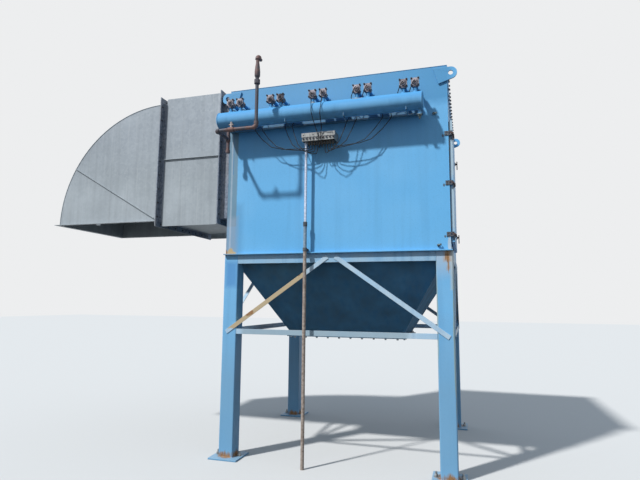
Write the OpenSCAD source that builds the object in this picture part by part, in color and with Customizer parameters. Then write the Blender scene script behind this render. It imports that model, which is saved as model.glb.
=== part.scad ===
// Pulse-jet dust collector: a steel filter housing on four braced legs, with a
// hopper below, a compressed-air header with ten pulse valves across the front,
// a hinged access door on the right side and a sheet-metal duct on the left that
// turns down through a square-throat radius elbow.
// Millimetres. The origin is on the ground, midway between the four legs.
// X runs to the right along the front, Y runs from the front to the back, Z is up.

/* [Housing] */
// Width of the housing across its front
housing_w = 2250; // [2000:10:2500]
// Depth of the housing from the front wall to the back wall
housing_d = 2120; // [1900:10:2400]
// Height of the housing from the base flange to the top of the roof
housing_h = 1760; // [1700:10:2000]
// Height of the base flange's top face above the ground
housing_base = 2010; // [1950:10:2200]
// Thickness of the housing's wall and roof plate
wall_t = 5; // [3:1:8]

/* [Base flange and rails] */
// Thickness of the flat flange under the housing walls
flange_t = 10; // [6:1:16]
// How far the flange and the legs stand out past the side walls
flange_side = 14; // [10:1:24]
// How far the flange stands out past the front and back walls
flange_front = 35; // [20:1:45]
// Height of the channel rail under the flange
rail_h = 90; // [70:5:110]
// Depth of the channel rail's flanges
rail_depth = 45; // [35:5:60]
// Thickness of the channel rail
rail_t = 6; // [4:1:8]

/* [Legs] */
// Outside width of the square leg tube
leg_size = 152; // [130:2:170]
// Wall thickness of the leg tube
leg_t = 6; // [4:1:8]
// Outside corner radius of the leg tube
leg_r = 12; // [9:1:16]
// Width of the square base plate
plate_size = 300; // [280:10:340]
// Thickness of the base plate
plate_t = 16; // [12:1:25]
// Diameter of an anchor hole
anchor_d = 22; // [18:1:26]
// Distance of an anchor hole from the middle of its leg
anchor_offset = 115; // [105:5:125]

/* [Bracing] */
// Width of each leg of the tie's angle
brace_w = 51; // [40:1:60]
// Width of each leg of the diagonal's angle
diagonal_w = 42; // [36:1:60]
// Thickness of the brace angle
brace_t = 6; // [4:1:8]
// Height of the middle of the horizontal tie
tie_z = 1230; // [1150:10:1300]
// Height of the lower end of a diagonal, on the face of the leg
diagonal_foot_z = 1222; // [1150:2:1260]
// How far in from the outer edge of the leg a diagonal ends
diagonal_foot_in = 44; // [40:2:90]
// Half the space between the upper ends of the two diagonals
diagonal_head_half = 38; // [36:1:60]

/* [Hopper] */
// Thickness of the hopper plate, measured level
hopper_t = 6; // [4:1:8]
// Width of the hopper at its lower edge, outside
hopper_bottom_w = 1180; // [900:10:1300]
// Depth of the hopper at its lower edge, outside
hopper_bottom_d = 930; // [800:10:1200]
// Height of the hopper's lower edge above the ground
hopper_bottom_z = 1176; // [1100:2:1250]
// Width of the flange round the hopper outlet
hopper_flange_w = 50; // [35:5:70]
// Thickness of the hopper flange and of the cover bolted below it
hopper_flange_t = 8; // [6:1:12]

/* [Access door] */
// Width of the door along the depth of the housing
door_w = 1000; // [900:10:1050]
// Height of the door
door_h = 1150; // [1000:10:1250]
// Height of the door's lower edge above the base flange
door_up = 70; // [50:5:90]
// Distance of the door's front edge from the front of the housing
door_in = 20; // [18:1:30]
// How far the door overlaps the edge of its opening
door_lap = 28; // [20:1:40]
// How far the door's outer face stands out from the wall
door_proud = 35; // [30:1:45]
// Sheet thickness of the door pan
door_t = 3; // [2:1:4]
// Running gap between the door's rim and the wall
door_gap = 6; // [5:1:8]
// Radius of the hinge knuckle
knuckle_r = 10; // [8:1:11]
// Height of one hinge
hinge_h = 42; // [36:2:60]
// Thickness of the hinge leaves
leaf_t = 6; // [4:1:6]

/* [Compressed air header] */
// Outside diameter of the header pipe
header_od = 168.3; // [150:0.1:175]
// Wall thickness of the header pipe
header_t = 7.1; // [5:0.1:10]
// Thickness of the header end caps
header_cap_t = 12; // [8:1:16]
// Overall length of the header with its caps
header_l = 2080; // [1980:10:2120]
// Offset of the header's middle to the left of the housing's middle
header_left = 125; // [80:5:140]
// Distance of the header's axis in front of the housing
header_out = 165; // [155:5:190]
// Height of the header's axis above the base flange
header_up = 1367; // [1300:1:1400]
// Thickness of the header's shelf angle and brackets
shelf_t = 8; // [5:1:10]
// Width of each leg of the header's shelf angle
shelf_w = 50; // [40:5:60]

/* [Pulse valves] */
// Number of pairs of pulse valves
valve_pairs = 5; // [3:1:5]
// Distance from the header's left end to the middle of the first pair
pair_in_left = 182; // [150:1:220]
// Distance from the header's right end to the middle of the last pair
pair_in_right = 126; // [120:1:180]
// Distance between the two valves of a pair
valve_pitch = 108; // [100:1:130]
// Width of the square valve bonnet
bonnet_w = 82; // [70:1:90]
// Height of the valve's axis above the header's axis
valve_up = 179; // [165:1:200]
// Outside diameter of the pipes at the valve's inlet and outlet
valve_pipe_d = 33.4; // [26:0.1:40]

/* [Control box and tubing] */
// Width of the solenoid box
sol_w = 329; // [300:1:400]
// Height of the lower part of the solenoid box
sol_base_h = 38; // [30:1:50]
// Height of the solenoid box's lid
sol_lid_h = 42; // [30:1:50]
// How far the solenoid box stands out from the wall
sol_out = 140; // [120:5:160]
// Height of the solenoid box's underside above the base flange
sol_up = 1085; // [1050:5:1150]
// Distance of the solenoid box's middle to the left of the housing's middle
sol_left = 101; // [60:1:140]
// Diameter of a pilot tube
tube_d = 8; // [6:1:10]
// Outside diameter of the upper conduit
conduit_d = 27; // [21:1:30]
// Outside diameter of the lower conduit pipe
pipe_d = 33.4; // [30:0.1:36]
// Distance of the conduit in front of the housing
conduit_out = 72; // [70:1:80]
// Height of the joint between the two conduits above the base flange
conduit_joint_up = 270; // [200:10:400]

/* [Air pipe] */
// Distance of the air pipe in front of the housing
air_out = 415; // [380:5:430]
// Distance of the air pipe below the header's axis
air_down = 197; // [180:1:215]
// Distance of the riser to the left of the housing's middle
riser_left = 638; // [600:1:680]
// Height of the riser's top bend above the air pipe
riser_h = 713; // [650:1:760]
// Distance from the header's left end to the pipe that feeds it from below
feed_in = 107; // [95:1:130]
// How far the feed pipe's drip leg hangs below the air pipe
drip_leg_h = 147; // [120:1:180]

/* [Lifting lugs] */
// Thickness of a lifting lug
lug_t = 16; // [12:1:20]
// Radius of the rounded end of a lug
lug_r = 59; // [50:1:65]
// Diameter of the hole in a lug
lug_hole_d = 44; // [36:1:50]
// How far the lug's hole is past the side of the housing
lug_out = 34; // [30:1:50]

/* [Duct] */
// Sheet thickness of the duct and the elbow
duct_t = 2; // [1.5:0.5:3]
// Height of the duct, and outside radius of the elbow
duct_h = 1330; // [1250:5:1350]
// Depth of the duct from front to back
duct_d = 1100; // [900:10:1200]
// Distance of the duct's front sheet behind the front of the housing
duct_setback = 30; // [25:1:100]
// Distance of the duct's top below the top of the side wall
duct_down = 40; // [30:5:80]
// Length of the collar between the housing and the duct box
collar_l = 105; // [90:5:140]
// Length of the duct box
box_l = 745; // [600:5:900]
// Height of the seam in the front panels, above the duct's underside
panel_seam_up = 685; // [500:5:800]
// Width of the angle frames' leg that lies on the duct
frame_w = 40; // [30:1:50]
// How far the angle frames stand out from the duct
frame_h = 65; // [40:1:80]
// Thickness of the angle frames round the duct
frame_t = 5; // [4:1:6]
// Angle of the elbow's seam above its mouth
seam_angle = 30; // [20:1:45]
// How far the standing seams rise from the sheet
seam_h = 16; // [10:1:20]
// Thickness of a standing seam
seam_t = 5; // [4:1:6]

/* [Hidden] */
$fn = 64;

// Clearance between pieces that lie against each other without being welded
seat_gap = 0.3;
housing_top = housing_base + housing_h;
half_w = housing_w / 2;
front_y = -housing_d / 2;
back_y = housing_d / 2;
leg_outer_x = half_w + flange_side;
leg_outer_y = housing_d / 2;
leg_x = leg_outer_x - leg_size / 2;
leg_y = leg_outer_y - leg_size / 2;
leg_top = housing_base - flange_t;
rail_bottom = leg_top - rail_h;

// The hopper starts inside the rails, with a little room to spare
rail_clear = 2;
hopper_top_x = leg_outer_x - rail_depth - rail_clear;
hopper_top_y = leg_outer_y - rail_depth - rail_clear;

// Steel colours
blue = [0.36, 0.66, 0.88];
dark_blue = [0.16, 0.30, 0.42];
grey_zinc = [0.62, 0.66, 0.70];
dark_frame = [0.30, 0.33, 0.40];
rust = [0.42, 0.30, 0.24];
cast = [0.55, 0.53, 0.52];

// A box between two corners
module block(from, to) {
    translate(from) cube(to - from);
}

// Draws a profile given in Y and Z along X
module along_x(x0, x1) {
    translate([x0, 0, 0]) rotate([90, 0, 90]) linear_extrude(x1 - x0) children();
}

// Draws a profile given in X and Z along Y
module along_y(y0, y1) {
    translate([0, y1, 0]) rotate([90, 0, 0]) linear_extrude(y1 - y0) children();
}

// A rectangle with round corners about the origin
module rounded_rect(w, h, r) {
    square([w - 2 * r, h], center = true);
    square([w, h - 2 * r], center = true);
    for (x = [-1, 1], y = [-1, 1]) translate([x * (w / 2 - r), y * (h / 2 - r)]) circle(r);
}

// A flat rectangular ring round the opening from low to high, edge wide
module rect_ring(low, high, edge) {
    difference() {
        translate(low - [edge, edge]) square(high - low + 2 * [edge, edge]);
        translate(low) square(high - low);
    }
}

// A six-sided solid with four lower and four upper corners
module wedge(lower, upper) {
    polyhedron(points = concat(lower, upper), faces = [[0, 1, 2, 3], [4, 5, 1, 0], [7, 6, 5, 4],
        [5, 6, 2, 1], [6, 7, 3, 2], [7, 4, 0, 3]]);
}

// Legs

// The space that the hopper takes up, grown by a clearance
module hopper_space(grow) {
    top = [hopper_top_x + grow, hopper_top_y + grow];
    low = [hopper_bottom_w / 2 + grow, hopper_bottom_d / 2 + grow];
    signs = [[-1, -1], [1, -1], [1, 1], [-1, 1]];
    wedge([for (s = signs) [s.x * low.x, s.y * low.y, hopper_bottom_z]],
        [for (s = signs) [s.x * top.x, s.y * top.y, leg_top]]);
}

// A square tube leg, coped at its inner corner to clear the hopper
module leg(side_x, side_y) {
    cope_gap = 1;
    difference() {
        translate([side_x * leg_x, side_y * leg_y, plate_t]) linear_extrude(leg_top - plate_t)
            difference() {
                rounded_rect(leg_size, leg_size, leg_r);
                rounded_rect(leg_size - 2 * leg_t, leg_size - 2 * leg_t, leg_r - leg_t);
            }
        hopper_space(cope_gap);
    }
}

module front_left_leg() { color(blue) leg(-1, -1); }
module front_right_leg() { color(blue) leg(1, -1); }
module back_left_leg() { color(blue) leg(-1, 1); }
module back_right_leg() { color(blue) leg(1, 1); }

// Four base plates, each with two anchor holes
module base_plates() {
    color(blue)
        for (x = [-1, 1], y = [-1, 1]) translate([x * leg_x, y * leg_y, 0]) difference() {
            translate([-plate_size / 2, -plate_size / 2, 0]) cube([plate_size, plate_size, plate_t]);
            for (side = [-1, 1]) translate([side * anchor_offset, 0, -1])
                cylinder(d = anchor_d, h = plate_t + 2);
        }
}

// Rails and bracing, each drawn for the front and turned to the other sides

// A channel rail between the legs, with its flat web outside
module rail(half_span, plane) {
    inner = half_span - leg_size;
    along_x(-inner, inner) translate([-plane, rail_bottom]) polygon([[0, 0], [rail_depth, 0],
        [rail_depth, rail_t], [rail_t, rail_t], [rail_t, rail_h - rail_t],
        [rail_depth, rail_h - rail_t], [rail_depth, rail_h], [0, rail_h]]);
}

module top_rails() {
    color(blue) {
        for (turn = [0, 180]) rotate([0, 0, turn]) rail(leg_outer_x, leg_outer_y);
        for (turn = [90, 270]) rotate([0, 0, turn]) rail(leg_outer_y, leg_outer_x);
    }
}

// The outline of a bar from point a to point b, between two offsets from its middle
module bar_outline(a, b, low, high) {
    run = b - a;
    translate(a) rotate(atan2(run.y, run.x)) translate([0, low]) square([norm(run), high - low]);
}

// One diagonal: the flat leg of the angle lies on the rail and the leg, and the
// other leg of the angle points inward between them
module diagonal(half_span, plane) {
    head = [diagonal_head_half, rail_bottom + rail_h * 0.6];
    foot = [half_span - diagonal_foot_in, diagonal_foot_z];
    inner = half_span - leg_size;
    along_y(-plane - brace_t, -plane) bar_outline(head, foot, -diagonal_w / 2, diagonal_w / 2);
    along_y(-plane - brace_t, -plane + diagonal_w - brace_t) intersection() {
        bar_outline(head, foot, diagonal_w / 2 - brace_t, diagonal_w / 2);
        translate([0, tie_z + brace_w / 2 + 1])
            square([inner - 1, rail_bottom - 1 - (tie_z + brace_w / 2 + 1)]);
    }
}

// The tie between the legs, an angle with its flat leg outside
module tie(half_span, plane) {
    inner = half_span - leg_size;
    along_x(-inner, inner) translate([-plane + 1, tie_z - brace_w / 2]) polygon([[0, 0],
        [brace_w, 0], [brace_w, brace_t], [brace_t, brace_t], [brace_t, brace_w], [0, brace_w]]);
}

module braced_side(half_span, plane) {
    tie(half_span, plane);
    for (side = [0, 1]) mirror([side, 0, 0]) diagonal(half_span, plane);
}

module front_bracing() { color(blue) braced_side(leg_outer_x, leg_outer_y); }
module back_bracing() { color(blue) rotate([0, 0, 180]) braced_side(leg_outer_x, leg_outer_y); }
module side_bracing() {
    color(blue) for (turn = [90, 270]) rotate([0, 0, turn]) braced_side(leg_outer_y, leg_outer_x);
}

// Housing

// The flat flange that the walls stand on, open over the hopper
module base_flange() {
    outer = [leg_outer_x, half_d_flange()];
    inner = [hopper_top_x - hopper_t, hopper_top_y - hopper_t];
    color(blue) translate([0, 0, leg_top]) linear_extrude(flange_t) difference() {
        square(2 * outer, center = true);
        square(2 * inner, center = true);
    }
}
function half_d_flange() = housing_d / 2 + flange_front;

wall_top = housing_top - wall_t;
side_y0 = front_y + wall_t;
side_y1 = back_y - wall_t;

module front_wall() {
    color(blue) block([-half_w, front_y, housing_base], [half_w, front_y + wall_t, wall_top]);
}

module back_wall() {
    color(blue) block([-half_w, back_y - wall_t, housing_base], [half_w, back_y, wall_top]);
}

module roof_panel() {
    color(blue) block([-half_w, front_y, wall_top], [half_w, back_y, housing_top]);
}

// Duct section, in Y and Z, outside the sheet
duct_low = [front_y + duct_setback, wall_top - duct_down - duct_h];
duct_high = duct_low + [duct_d, duct_h];

// The left wall, cut out for the duct
module left_wall() {
    sheet = [duct_t, duct_t];
    color(blue) along_x(-half_w, -half_w + wall_t) difference() {
        translate([side_y0, housing_base]) square([side_y1 - side_y0, wall_top - housing_base]);
        translate(duct_low + sheet) square(duct_high - duct_low - 2 * sheet);
    }
}

// Access door: its outline and the opening behind it, in Y and Z
door_low = [front_y + door_in, housing_base + door_up];
door_high = door_low + [door_w, door_h];
door_open_low = door_low + [door_lap, door_lap];
door_open_high = door_high - [door_lap, door_lap];

module right_wall_beside_door() {
    color(blue) {
        block([half_w - wall_t, side_y0, housing_base], [half_w, door_open_low.x, wall_top]);
        block([half_w - wall_t, door_open_high.x, housing_base], [half_w, side_y1, wall_top]);
    }
}

module right_wall_over_under_door() {
    color(blue) for (span = [[housing_base, door_open_low.y], [door_open_high.y, wall_top]])
        block([half_w - wall_t, door_open_low.x, span[0]], [half_w, door_open_high.x, span[1]]);
}

// The bolted cover of the clean-air plenum, on the right side above the door
cover_edge = 120;
cover_t = 6;
cover_h = 235;
cover_below_top = 12;
module plenum_cover() {
    color(blue) block([half_w, front_y + cover_edge, wall_top - cover_below_top - cover_h],
        [half_w + cover_t, back_y - cover_edge, wall_top - cover_below_top]);
}

// Lifting lugs: a round end past the side of the housing and a tail welded to the wall
lug_below_top = 25;
lug_z = housing_top - lug_r - lug_below_top;
lug_tail_in = 80;
lug_tail_drop = 40;
module lug() {
    centre = [half_w + lug_out, lug_z];
    difference() {
        union() {
            translate(centre) circle(lug_r);
            polygon([[centre.x, centre.y + lug_r], [half_w - 1.6 * lug_tail_in, centre.y + lug_r],
                [half_w - lug_tail_in, centre.y - lug_r - lug_tail_drop],
                centre + lug_r * [sin(25), -cos(25)]]);
        }
        translate(centre) circle(d = lug_hole_d);
    }
}

module lifting_lugs() {
    color(blue) for (side = [0, 1], end = [0, 1]) mirror([side, 0, 0]) mirror([0, end, 0])
        along_y(front_y - lug_t, front_y) lug();
}

// Hopper: four mitred plates, a flange and a flat cover bolted under it

// One sloping plate on the side that faces -Y
module hopper_plate(top, low) {
    wedge([[-low.x, -low.y, hopper_bottom_z], [low.x, -low.y, hopper_bottom_z],
        [low.x - hopper_t, -low.y + hopper_t, hopper_bottom_z],
        [-low.x + hopper_t, -low.y + hopper_t, hopper_bottom_z]],
        [[-top.x, -top.y, leg_top], [top.x, -top.y, leg_top],
        [top.x - hopper_t, -top.y + hopper_t, leg_top],
        [-top.x + hopper_t, -top.y + hopper_t, leg_top]]);
}

hopper_top = [hopper_top_x, hopper_top_y];
hopper_low = [hopper_bottom_w / 2, hopper_bottom_d / 2];
module hopper_front() { color(dark_blue) hopper_plate(hopper_top, hopper_low); }
module hopper_back() { color(dark_blue) rotate([0, 0, 180]) hopper_plate(hopper_top, hopper_low); }
module hopper_sides() {
    color(dark_blue) for (turn = [90, 270]) rotate([0, 0, turn])
        hopper_plate([hopper_top.y, hopper_top.x], [hopper_low.y, hopper_low.x]);
}

hopper_flange_out = [hopper_bottom_w / 2 + hopper_flange_w, hopper_bottom_d / 2 + hopper_flange_w];
module hopper_flange() {
    inner = hopper_low - [hopper_t, hopper_t];
    color(dark_blue) translate([0, 0, hopper_bottom_z - hopper_flange_t])
        linear_extrude(hopper_flange_t) difference() {
            square(2 * hopper_flange_out, center = true);
            square(2 * inner, center = true);
        }
}

module hopper_cover() {
    color(dark_blue) translate([0, 0, hopper_bottom_z - 2 * hopper_flange_t])
        linear_extrude(hopper_flange_t) square(2 * hopper_flange_out, center = true);
}

// Access door, hung on three hinges at the front right corner

hinge_x = half_w + door_gap + knuckle_r + 5;
hinge_y = front_y - 2;
door_x0 = half_w + door_gap;
door_x1 = half_w + door_proud;
hinge_rows = [0.038, 0.454, 0.864];
function hinge_z(row) = door_low.y + row * door_h + 5;
// Running clearance at the hinge, along the pin and round it
hinge_end_gap = 0.5;
pin_r = 5;
pin_gap = 0.05;
// Length of the fixed leaf on the front wall
hinge_leaf_l = 36;
// Room between the knuckle and the fixed leaf, for the strap of an open door
hinge_leaf_clear = 8;

// The fixed half of a hinge: a leaf on the front wall, two knuckles and the pin
module hinge_bracket(z) {
    third = hinge_h / 3;
    leaf_end = hinge_x - knuckle_r - hinge_leaf_clear;
    block([half_w - hinge_leaf_l, front_y - leaf_t, z], [leaf_end, front_y, z + hinge_h]);
    for (low = [z, z + 2 * third + hinge_end_gap]) {
        translate([hinge_x, hinge_y, low]) cylinder(r = knuckle_r, h = third - hinge_end_gap);
        block([leaf_end - 1, front_y - leaf_t, low], [hinge_x, front_y, low + third - hinge_end_gap]);
    }
    translate([hinge_x, hinge_y, z]) cylinder(r = pin_r, h = hinge_h);
}

module hinge_brackets() {
    color(rust) for (row = hinge_rows) hinge_bracket(hinge_z(row));
}

// The door pan: a flat skin with its four edges folded back towards the wall
module access_door() {
    rim = [door_t, door_t];
    color(blue) {
        along_x(door_x1 - door_t, door_x1) translate(door_low) square(door_high - door_low);
        along_x(door_x0, door_x1) rect_ring(door_low + rim, door_high - rim, door_t);
    }
}

// The door's hinge straps, and two cam latches on its free edge
strap_l = 170;
module door_strap(z) {
    third = hinge_h / 3;
    low = z + third;
    difference() {
        union() {
            translate([hinge_x, hinge_y, low]) cylinder(r = knuckle_r, h = third);
            block([hinge_x, hinge_y - knuckle_r, low], [door_x1 + leaf_t, hinge_y - 2, low + third]);
            block([door_x1, hinge_y - knuckle_r, low], [door_x1 + leaf_t, hinge_y + strap_l, low + third]);
            block([door_x1, hinge_y + 25, low - third / 2],
                [door_x1 + leaf_t, hinge_y + strap_l, low + 1.5 * third]);
        }
        translate([hinge_x, hinge_y, low - 1]) cylinder(r = pin_r + pin_gap, h = third + 2);
    }
}

latch_rows = [0.14, 0.86];
latch_in = 40;
module door_latch(z) {
    latch_grip_l = 90;
    translate([door_x1, door_high.x - latch_in, z]) {
        rotate([0, 90, 0]) cylinder(r = 20, h = 8);
        rotate([0, 90, 0]) cylinder(r = 9, h = 26);
        translate([18, -9, -latch_grip_l * 0.7]) cube([10, 18, latch_grip_l]);
    }
}

module door_hardware() {
    color(rust) {
        for (row = hinge_rows) door_strap(hinge_z(row));
        for (row = latch_rows) door_latch(door_low.y + row * door_h);
    }
}

// Compressed air header

header_r = header_od / 2;
header_y = front_y - header_out;
header_z = housing_base + header_up;
header_x0 = -header_left - header_l / 2;
header_x1 = -header_left + header_l / 2;
valve_z = header_z + valve_up;
valve_y = header_y;
pair_pitch = (header_l - pair_in_left - pair_in_right) / (valve_pairs - 1);
pair_x = [for (i = [0:valve_pairs - 1]) header_x0 + pair_in_left + i * pair_pitch];
valve_x = [for (x = pair_x, side = [-1, 1]) x + side * valve_pitch / 2];
inlet_hub_down = 46;

// The pipe shell, with a stub up to each valve, a half coupling for the air feed at its left
// end and a drain at its right end
feed_x = header_x0 + feed_in;
feed_coupling_h = 22;
module header_shell() {
    stub_r = valve_pipe_d / 2;
    drain_in = 36;
    color(blue) difference() {
        union() {
            translate([header_x0 + header_cap_t, header_y, header_z]) rotate([0, 90, 0])
                cylinder(r = header_r, h = header_l - 2 * header_cap_t);
            for (x = valve_x) {
                translate([x, header_y, header_z]) cylinder(r = stub_r, h = valve_up - inlet_hub_down);
                translate([x, header_y, header_z]) cylinder(r = stub_r + 5, h = header_r + 12);
            }
            translate([feed_x, header_y, header_z - header_r - feed_coupling_h]) cylinder(r = 24, h = 50);
            translate([header_x1 - drain_in, header_y, header_z - header_r - 30]) cylinder(r = 14, h = 40);
            translate([header_x1 - drain_in, header_y, header_z - header_r - 44])
                cylinder(r = 19, h = 20, $fn = 6);
        }
        translate([header_x0, header_y, header_z]) rotate([0, 90, 0])
            cylinder(r = header_r - header_t, h = header_l);
    }
}

// A dished cap welded on each end of the header
module header_end_caps() {
    crown = 5;
    color(blue) for (side = [0, 1]) translate([side == 0 ? header_x0 : header_x1, header_y, header_z])
        mirror([side, 0, 0]) rotate([0, 90, 0]) rotate_extrude() polygon([[0, 0],
            [header_r - 22, 0], [header_r - 6, 2], [header_r, 7], [header_r, header_cap_t],
            [header_r - header_t, header_cap_t], [0, header_cap_t - crown]]);
}

// The shelf angle on the wall and the saddle brackets that carry the header
saddle_count = 4;
saddle_t = 8;
saddle_in = 150;
// How far the shelf's top is above the lowest line of the header
shelf_rise = 14;
// Depth of the saddle's plate below the header
cradle_t = 9;
module header_shelf() {
    top_z = header_z - header_r + shelf_rise;
    cradle_z = header_z - header_r - cradle_t;
    color(blue) {
        along_x(header_x0 + 60, header_x1 - 20) translate([front_y, top_z - shelf_t]) polygon([[0, 0],
            [-shelf_w, 0], [-shelf_w, shelf_t], [-shelf_t, shelf_t], [-shelf_t, shelf_w], [0, shelf_w]]);
        for (i = [0:saddle_count - 1]) {
            x = header_x0 + saddle_in + i * (header_l - 2 * saddle_in - saddle_t) / (saddle_count - 1);
            along_x(x, x + saddle_t) difference() {
                polygon([[front_y, top_z - 1], [front_y, header_z + 20], [front_y - 40, header_z + 20],
                    [header_y - header_r * 0.7, header_z - header_r * 0.6],
                    [header_y - header_r * 0.7, cradle_z], [front_y - shelf_w, cradle_z],
                    [front_y - shelf_w, top_z - 1]]);
                translate([header_y, header_z]) circle(header_r);
            }
        }
    }
}

// Pulse valves: a right-angle body, its inlet below and its outlet to the wall

outlet_hub_end = 62;
module hex(across, length) {
    cylinder(d = across / cos(30), h = length, $fn = 6);
}

// One valve about its own centre, with its bonnet facing -Y
module pulse_valve() {
    bonnet_t = 13;
    flange_back = 16;
    ear_r = 9;
    rotate([90, 0, 0]) {
        translate([0, 0, flange_back + 1.5]) linear_extrude(bonnet_t) bonnet_outline(ear_r);
        translate([0, 0, flange_back]) linear_extrude(2) circle(bonnet_w * 0.42);
        translate([0, 0, flange_back - 12]) linear_extrude(12.5) bonnet_outline(ear_r);
        translate([0, 0, flange_back + bonnet_t]) rotate_extrude() polygon([[0, 0], [29, 0],
            [27, 8], [18, 14], [12, 15], [12, 24], [0, 24]]);
    }
    rotate([-90, 0, 0]) rotate_extrude() polygon([[0, -8], [33, -8], [33, 4], [27, 18], [23, 30],
        [23, outlet_hub_end - 20], [0, outlet_hub_end - 20]]);
    rotate([-90, 0, 0]) translate([0, 0, outlet_hub_end - 22]) hex(52, 22);
    translate([0, 0, -inlet_hub_down + 16]) cylinder(r = 24, h = inlet_hub_down - 16);
    translate([0, 0, -inlet_hub_down]) hex(52, 20);
}

// The bonnet's outline: a square with a round ear at each corner for its bolt
module bonnet_outline(ear_r) {
    inset = bonnet_w / 2 - ear_r;
    circle(inset + 4);
    square([2 * inset, 2 * inset + 6], center = true);
    square([2 * inset + 6, 2 * inset], center = true);
    for (x = [-inset, inset], y = [-inset, inset]) translate([x, y]) circle(ear_r);
}

module pulse_valves() {
    color(cast) for (x = valve_x) translate([x, valve_y, valve_z]) pulse_valve();
}

// The outlet pipes, each with a weld collar on the front wall
module blow_pipes() {
    reach = header_out - outlet_hub_end;
    color(blue) for (x = valve_x) translate([x, front_y, valve_z]) rotate([90, 0, 0]) {
        cylinder(d = valve_pipe_d, h = reach);
        cylinder(d = valve_pipe_d + 20, h = 10);
    }
}

// Solenoid box with its lid, and a row of tube fittings below it

sol_x = -sol_left;
sol_z = housing_base + sol_up;
fitting_count = 2 * valve_pairs;
fitting_pitch = 27;
fitting_out = 100;
fitting_l = 34;
function fitting_x(i) = sol_x + 20 + (i - (fitting_count - 1) / 2) * fitting_pitch;

module solenoid_box() {
    lid_lip = 5;
    color([0.72, 0.72, 0.70]) {
        block([sol_x - sol_w / 2, front_y - sol_out, sol_z],
            [sol_x + sol_w / 2, front_y, sol_z + sol_base_h]);
        block([sol_x - sol_w / 2 - lid_lip, front_y - sol_out - lid_lip, sol_z + sol_base_h + seat_gap],
            [sol_x + sol_w / 2 + lid_lip, front_y, sol_z + sol_base_h + sol_lid_h]);
        for (i = [0:fitting_count - 1]) translate([fitting_x(i), front_y - fitting_out, sol_z - fitting_l]) {
            cylinder(r = 7, h = fitting_l + 1);
            translate([0, 0, 18]) hex(19, 12);
        }
    }
}

// Pilot tubes: from each bonnet's boss to the row of fittings. The two nearest the box run
// down in front of the header, and the others pass over it and come down behind it.

boss_out = 16 + 13 + 24;
tube_sides = 8;
fitting_z = sol_z - fitting_l;

// Points of a tube in front of the header, from x at the valve to end_x at the box
function near_route(x, end_x) = let (
    face = valve_y - boss_out - seat_gap,
    end_y = front_y - fitting_out,
    box_y = front_y - sol_out - 16,
    run = end_x - x
) [
    [x, face, valve_z],
    [x, face - 14, valve_z - 6],
    [x + 4, face - 18, valve_z - 60],
    [x + 0.15 * run + 4, header_y - header_r - 12, header_z + 10],
    [x + 0.3 * run, header_y - header_r - 10, header_z - 60],
    [x + 0.6 * run, box_y - 20, sol_z + 120],
    [end_x - 4, box_y, sol_z + 50],
    [end_x + 3, box_y, sol_z],
    [end_x, end_y - 26, fitting_z - 22],
    [end_x, end_y - 4, fitting_z - 30],
    [end_x, end_y, fitting_z - 14],
    [end_x, end_y, fitting_z - seat_gap]
];

// Points of a tube behind the header. side is the way to the box. Tubes further along the
// row of fittings hang lower and further out, so that none touches the next.
function far_route(x, end_x, side, row) = let (
    face = valve_y - boss_out - seat_gap,
    end_y = front_y - fitting_out,
    out_x = x + side * 0.25 * abs(x - sol_x),
    run = end_x - out_x,
    start_y = front_y - 70 - 16 * row,
    loop_y = end_y - 2 - 20 * row,
    lift = 18 * (row % 2)
) [
    [x, face, valve_z],
    [x + side * 5, face - 14, valve_z - 6],
    [x + side * 26, face - 10, valve_z - 46],
    [x + side * 46, header_y - 50, header_z + 84],
    [x + side * 54, header_y + 4, header_z + 97],
    [x + side * 62, header_y + 64, header_z + 72],
    [x + side * 80, front_y - 56, header_z + 48 + lift],
    [out_x - side * 14, front_y - 58, header_z + 40 + lift],
    [out_x, front_y - 62, header_z + 4],
    [out_x + side * 5, front_y - 67, header_z - 62],
    [out_x + side * 12, start_y, header_z - 112],
    [out_x + 0.33 * run, 0.1 * start_y + 0.9 * loop_y, fitting_z + 16 - 5 * row],
    [out_x + 0.72 * run, loop_y, fitting_z - 24 - 22 * row],
    [end_x - side * 5, end_y, fitting_z - 26 - 20 * row],
    [end_x, end_y, fitting_z - 14],
    [end_x, end_y, fitting_z - seat_gap]
];

function tube_route(i) = let (
    x = valve_x[i],
    pair = floor(i / 2),
    near = pair == floor((valve_pairs - 1) / 2),
    side = x < sol_x ? 1 : -1
) near ? near_route(x, fitting_x(i)) : far_route(x, fitting_x(i), side, side > 0 ? i : fitting_count - 1 - i);

// A smooth curve through the points, with a given number of steps to each span
function smooth(p, steps) = let (n = len(p)) [
    for (i = [0:n - 2], s = [0:steps - 1]) let (
        a = p[max(i - 1, 0)], b = p[i], c = p[i + 1], d = p[min(i + 2, n - 1)], u = s / steps
    ) 0.5 * (2 * b + (c - a) * u + (2 * a - 5 * b + 4 * c - d) * u * u
        + (3 * b - 3 * c + d - a) * u * u * u),
    p[n - 1]
];

function unit(v) = v / norm(v);
function square_to(v, way) = unit(v - (v * way) * way);

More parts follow.
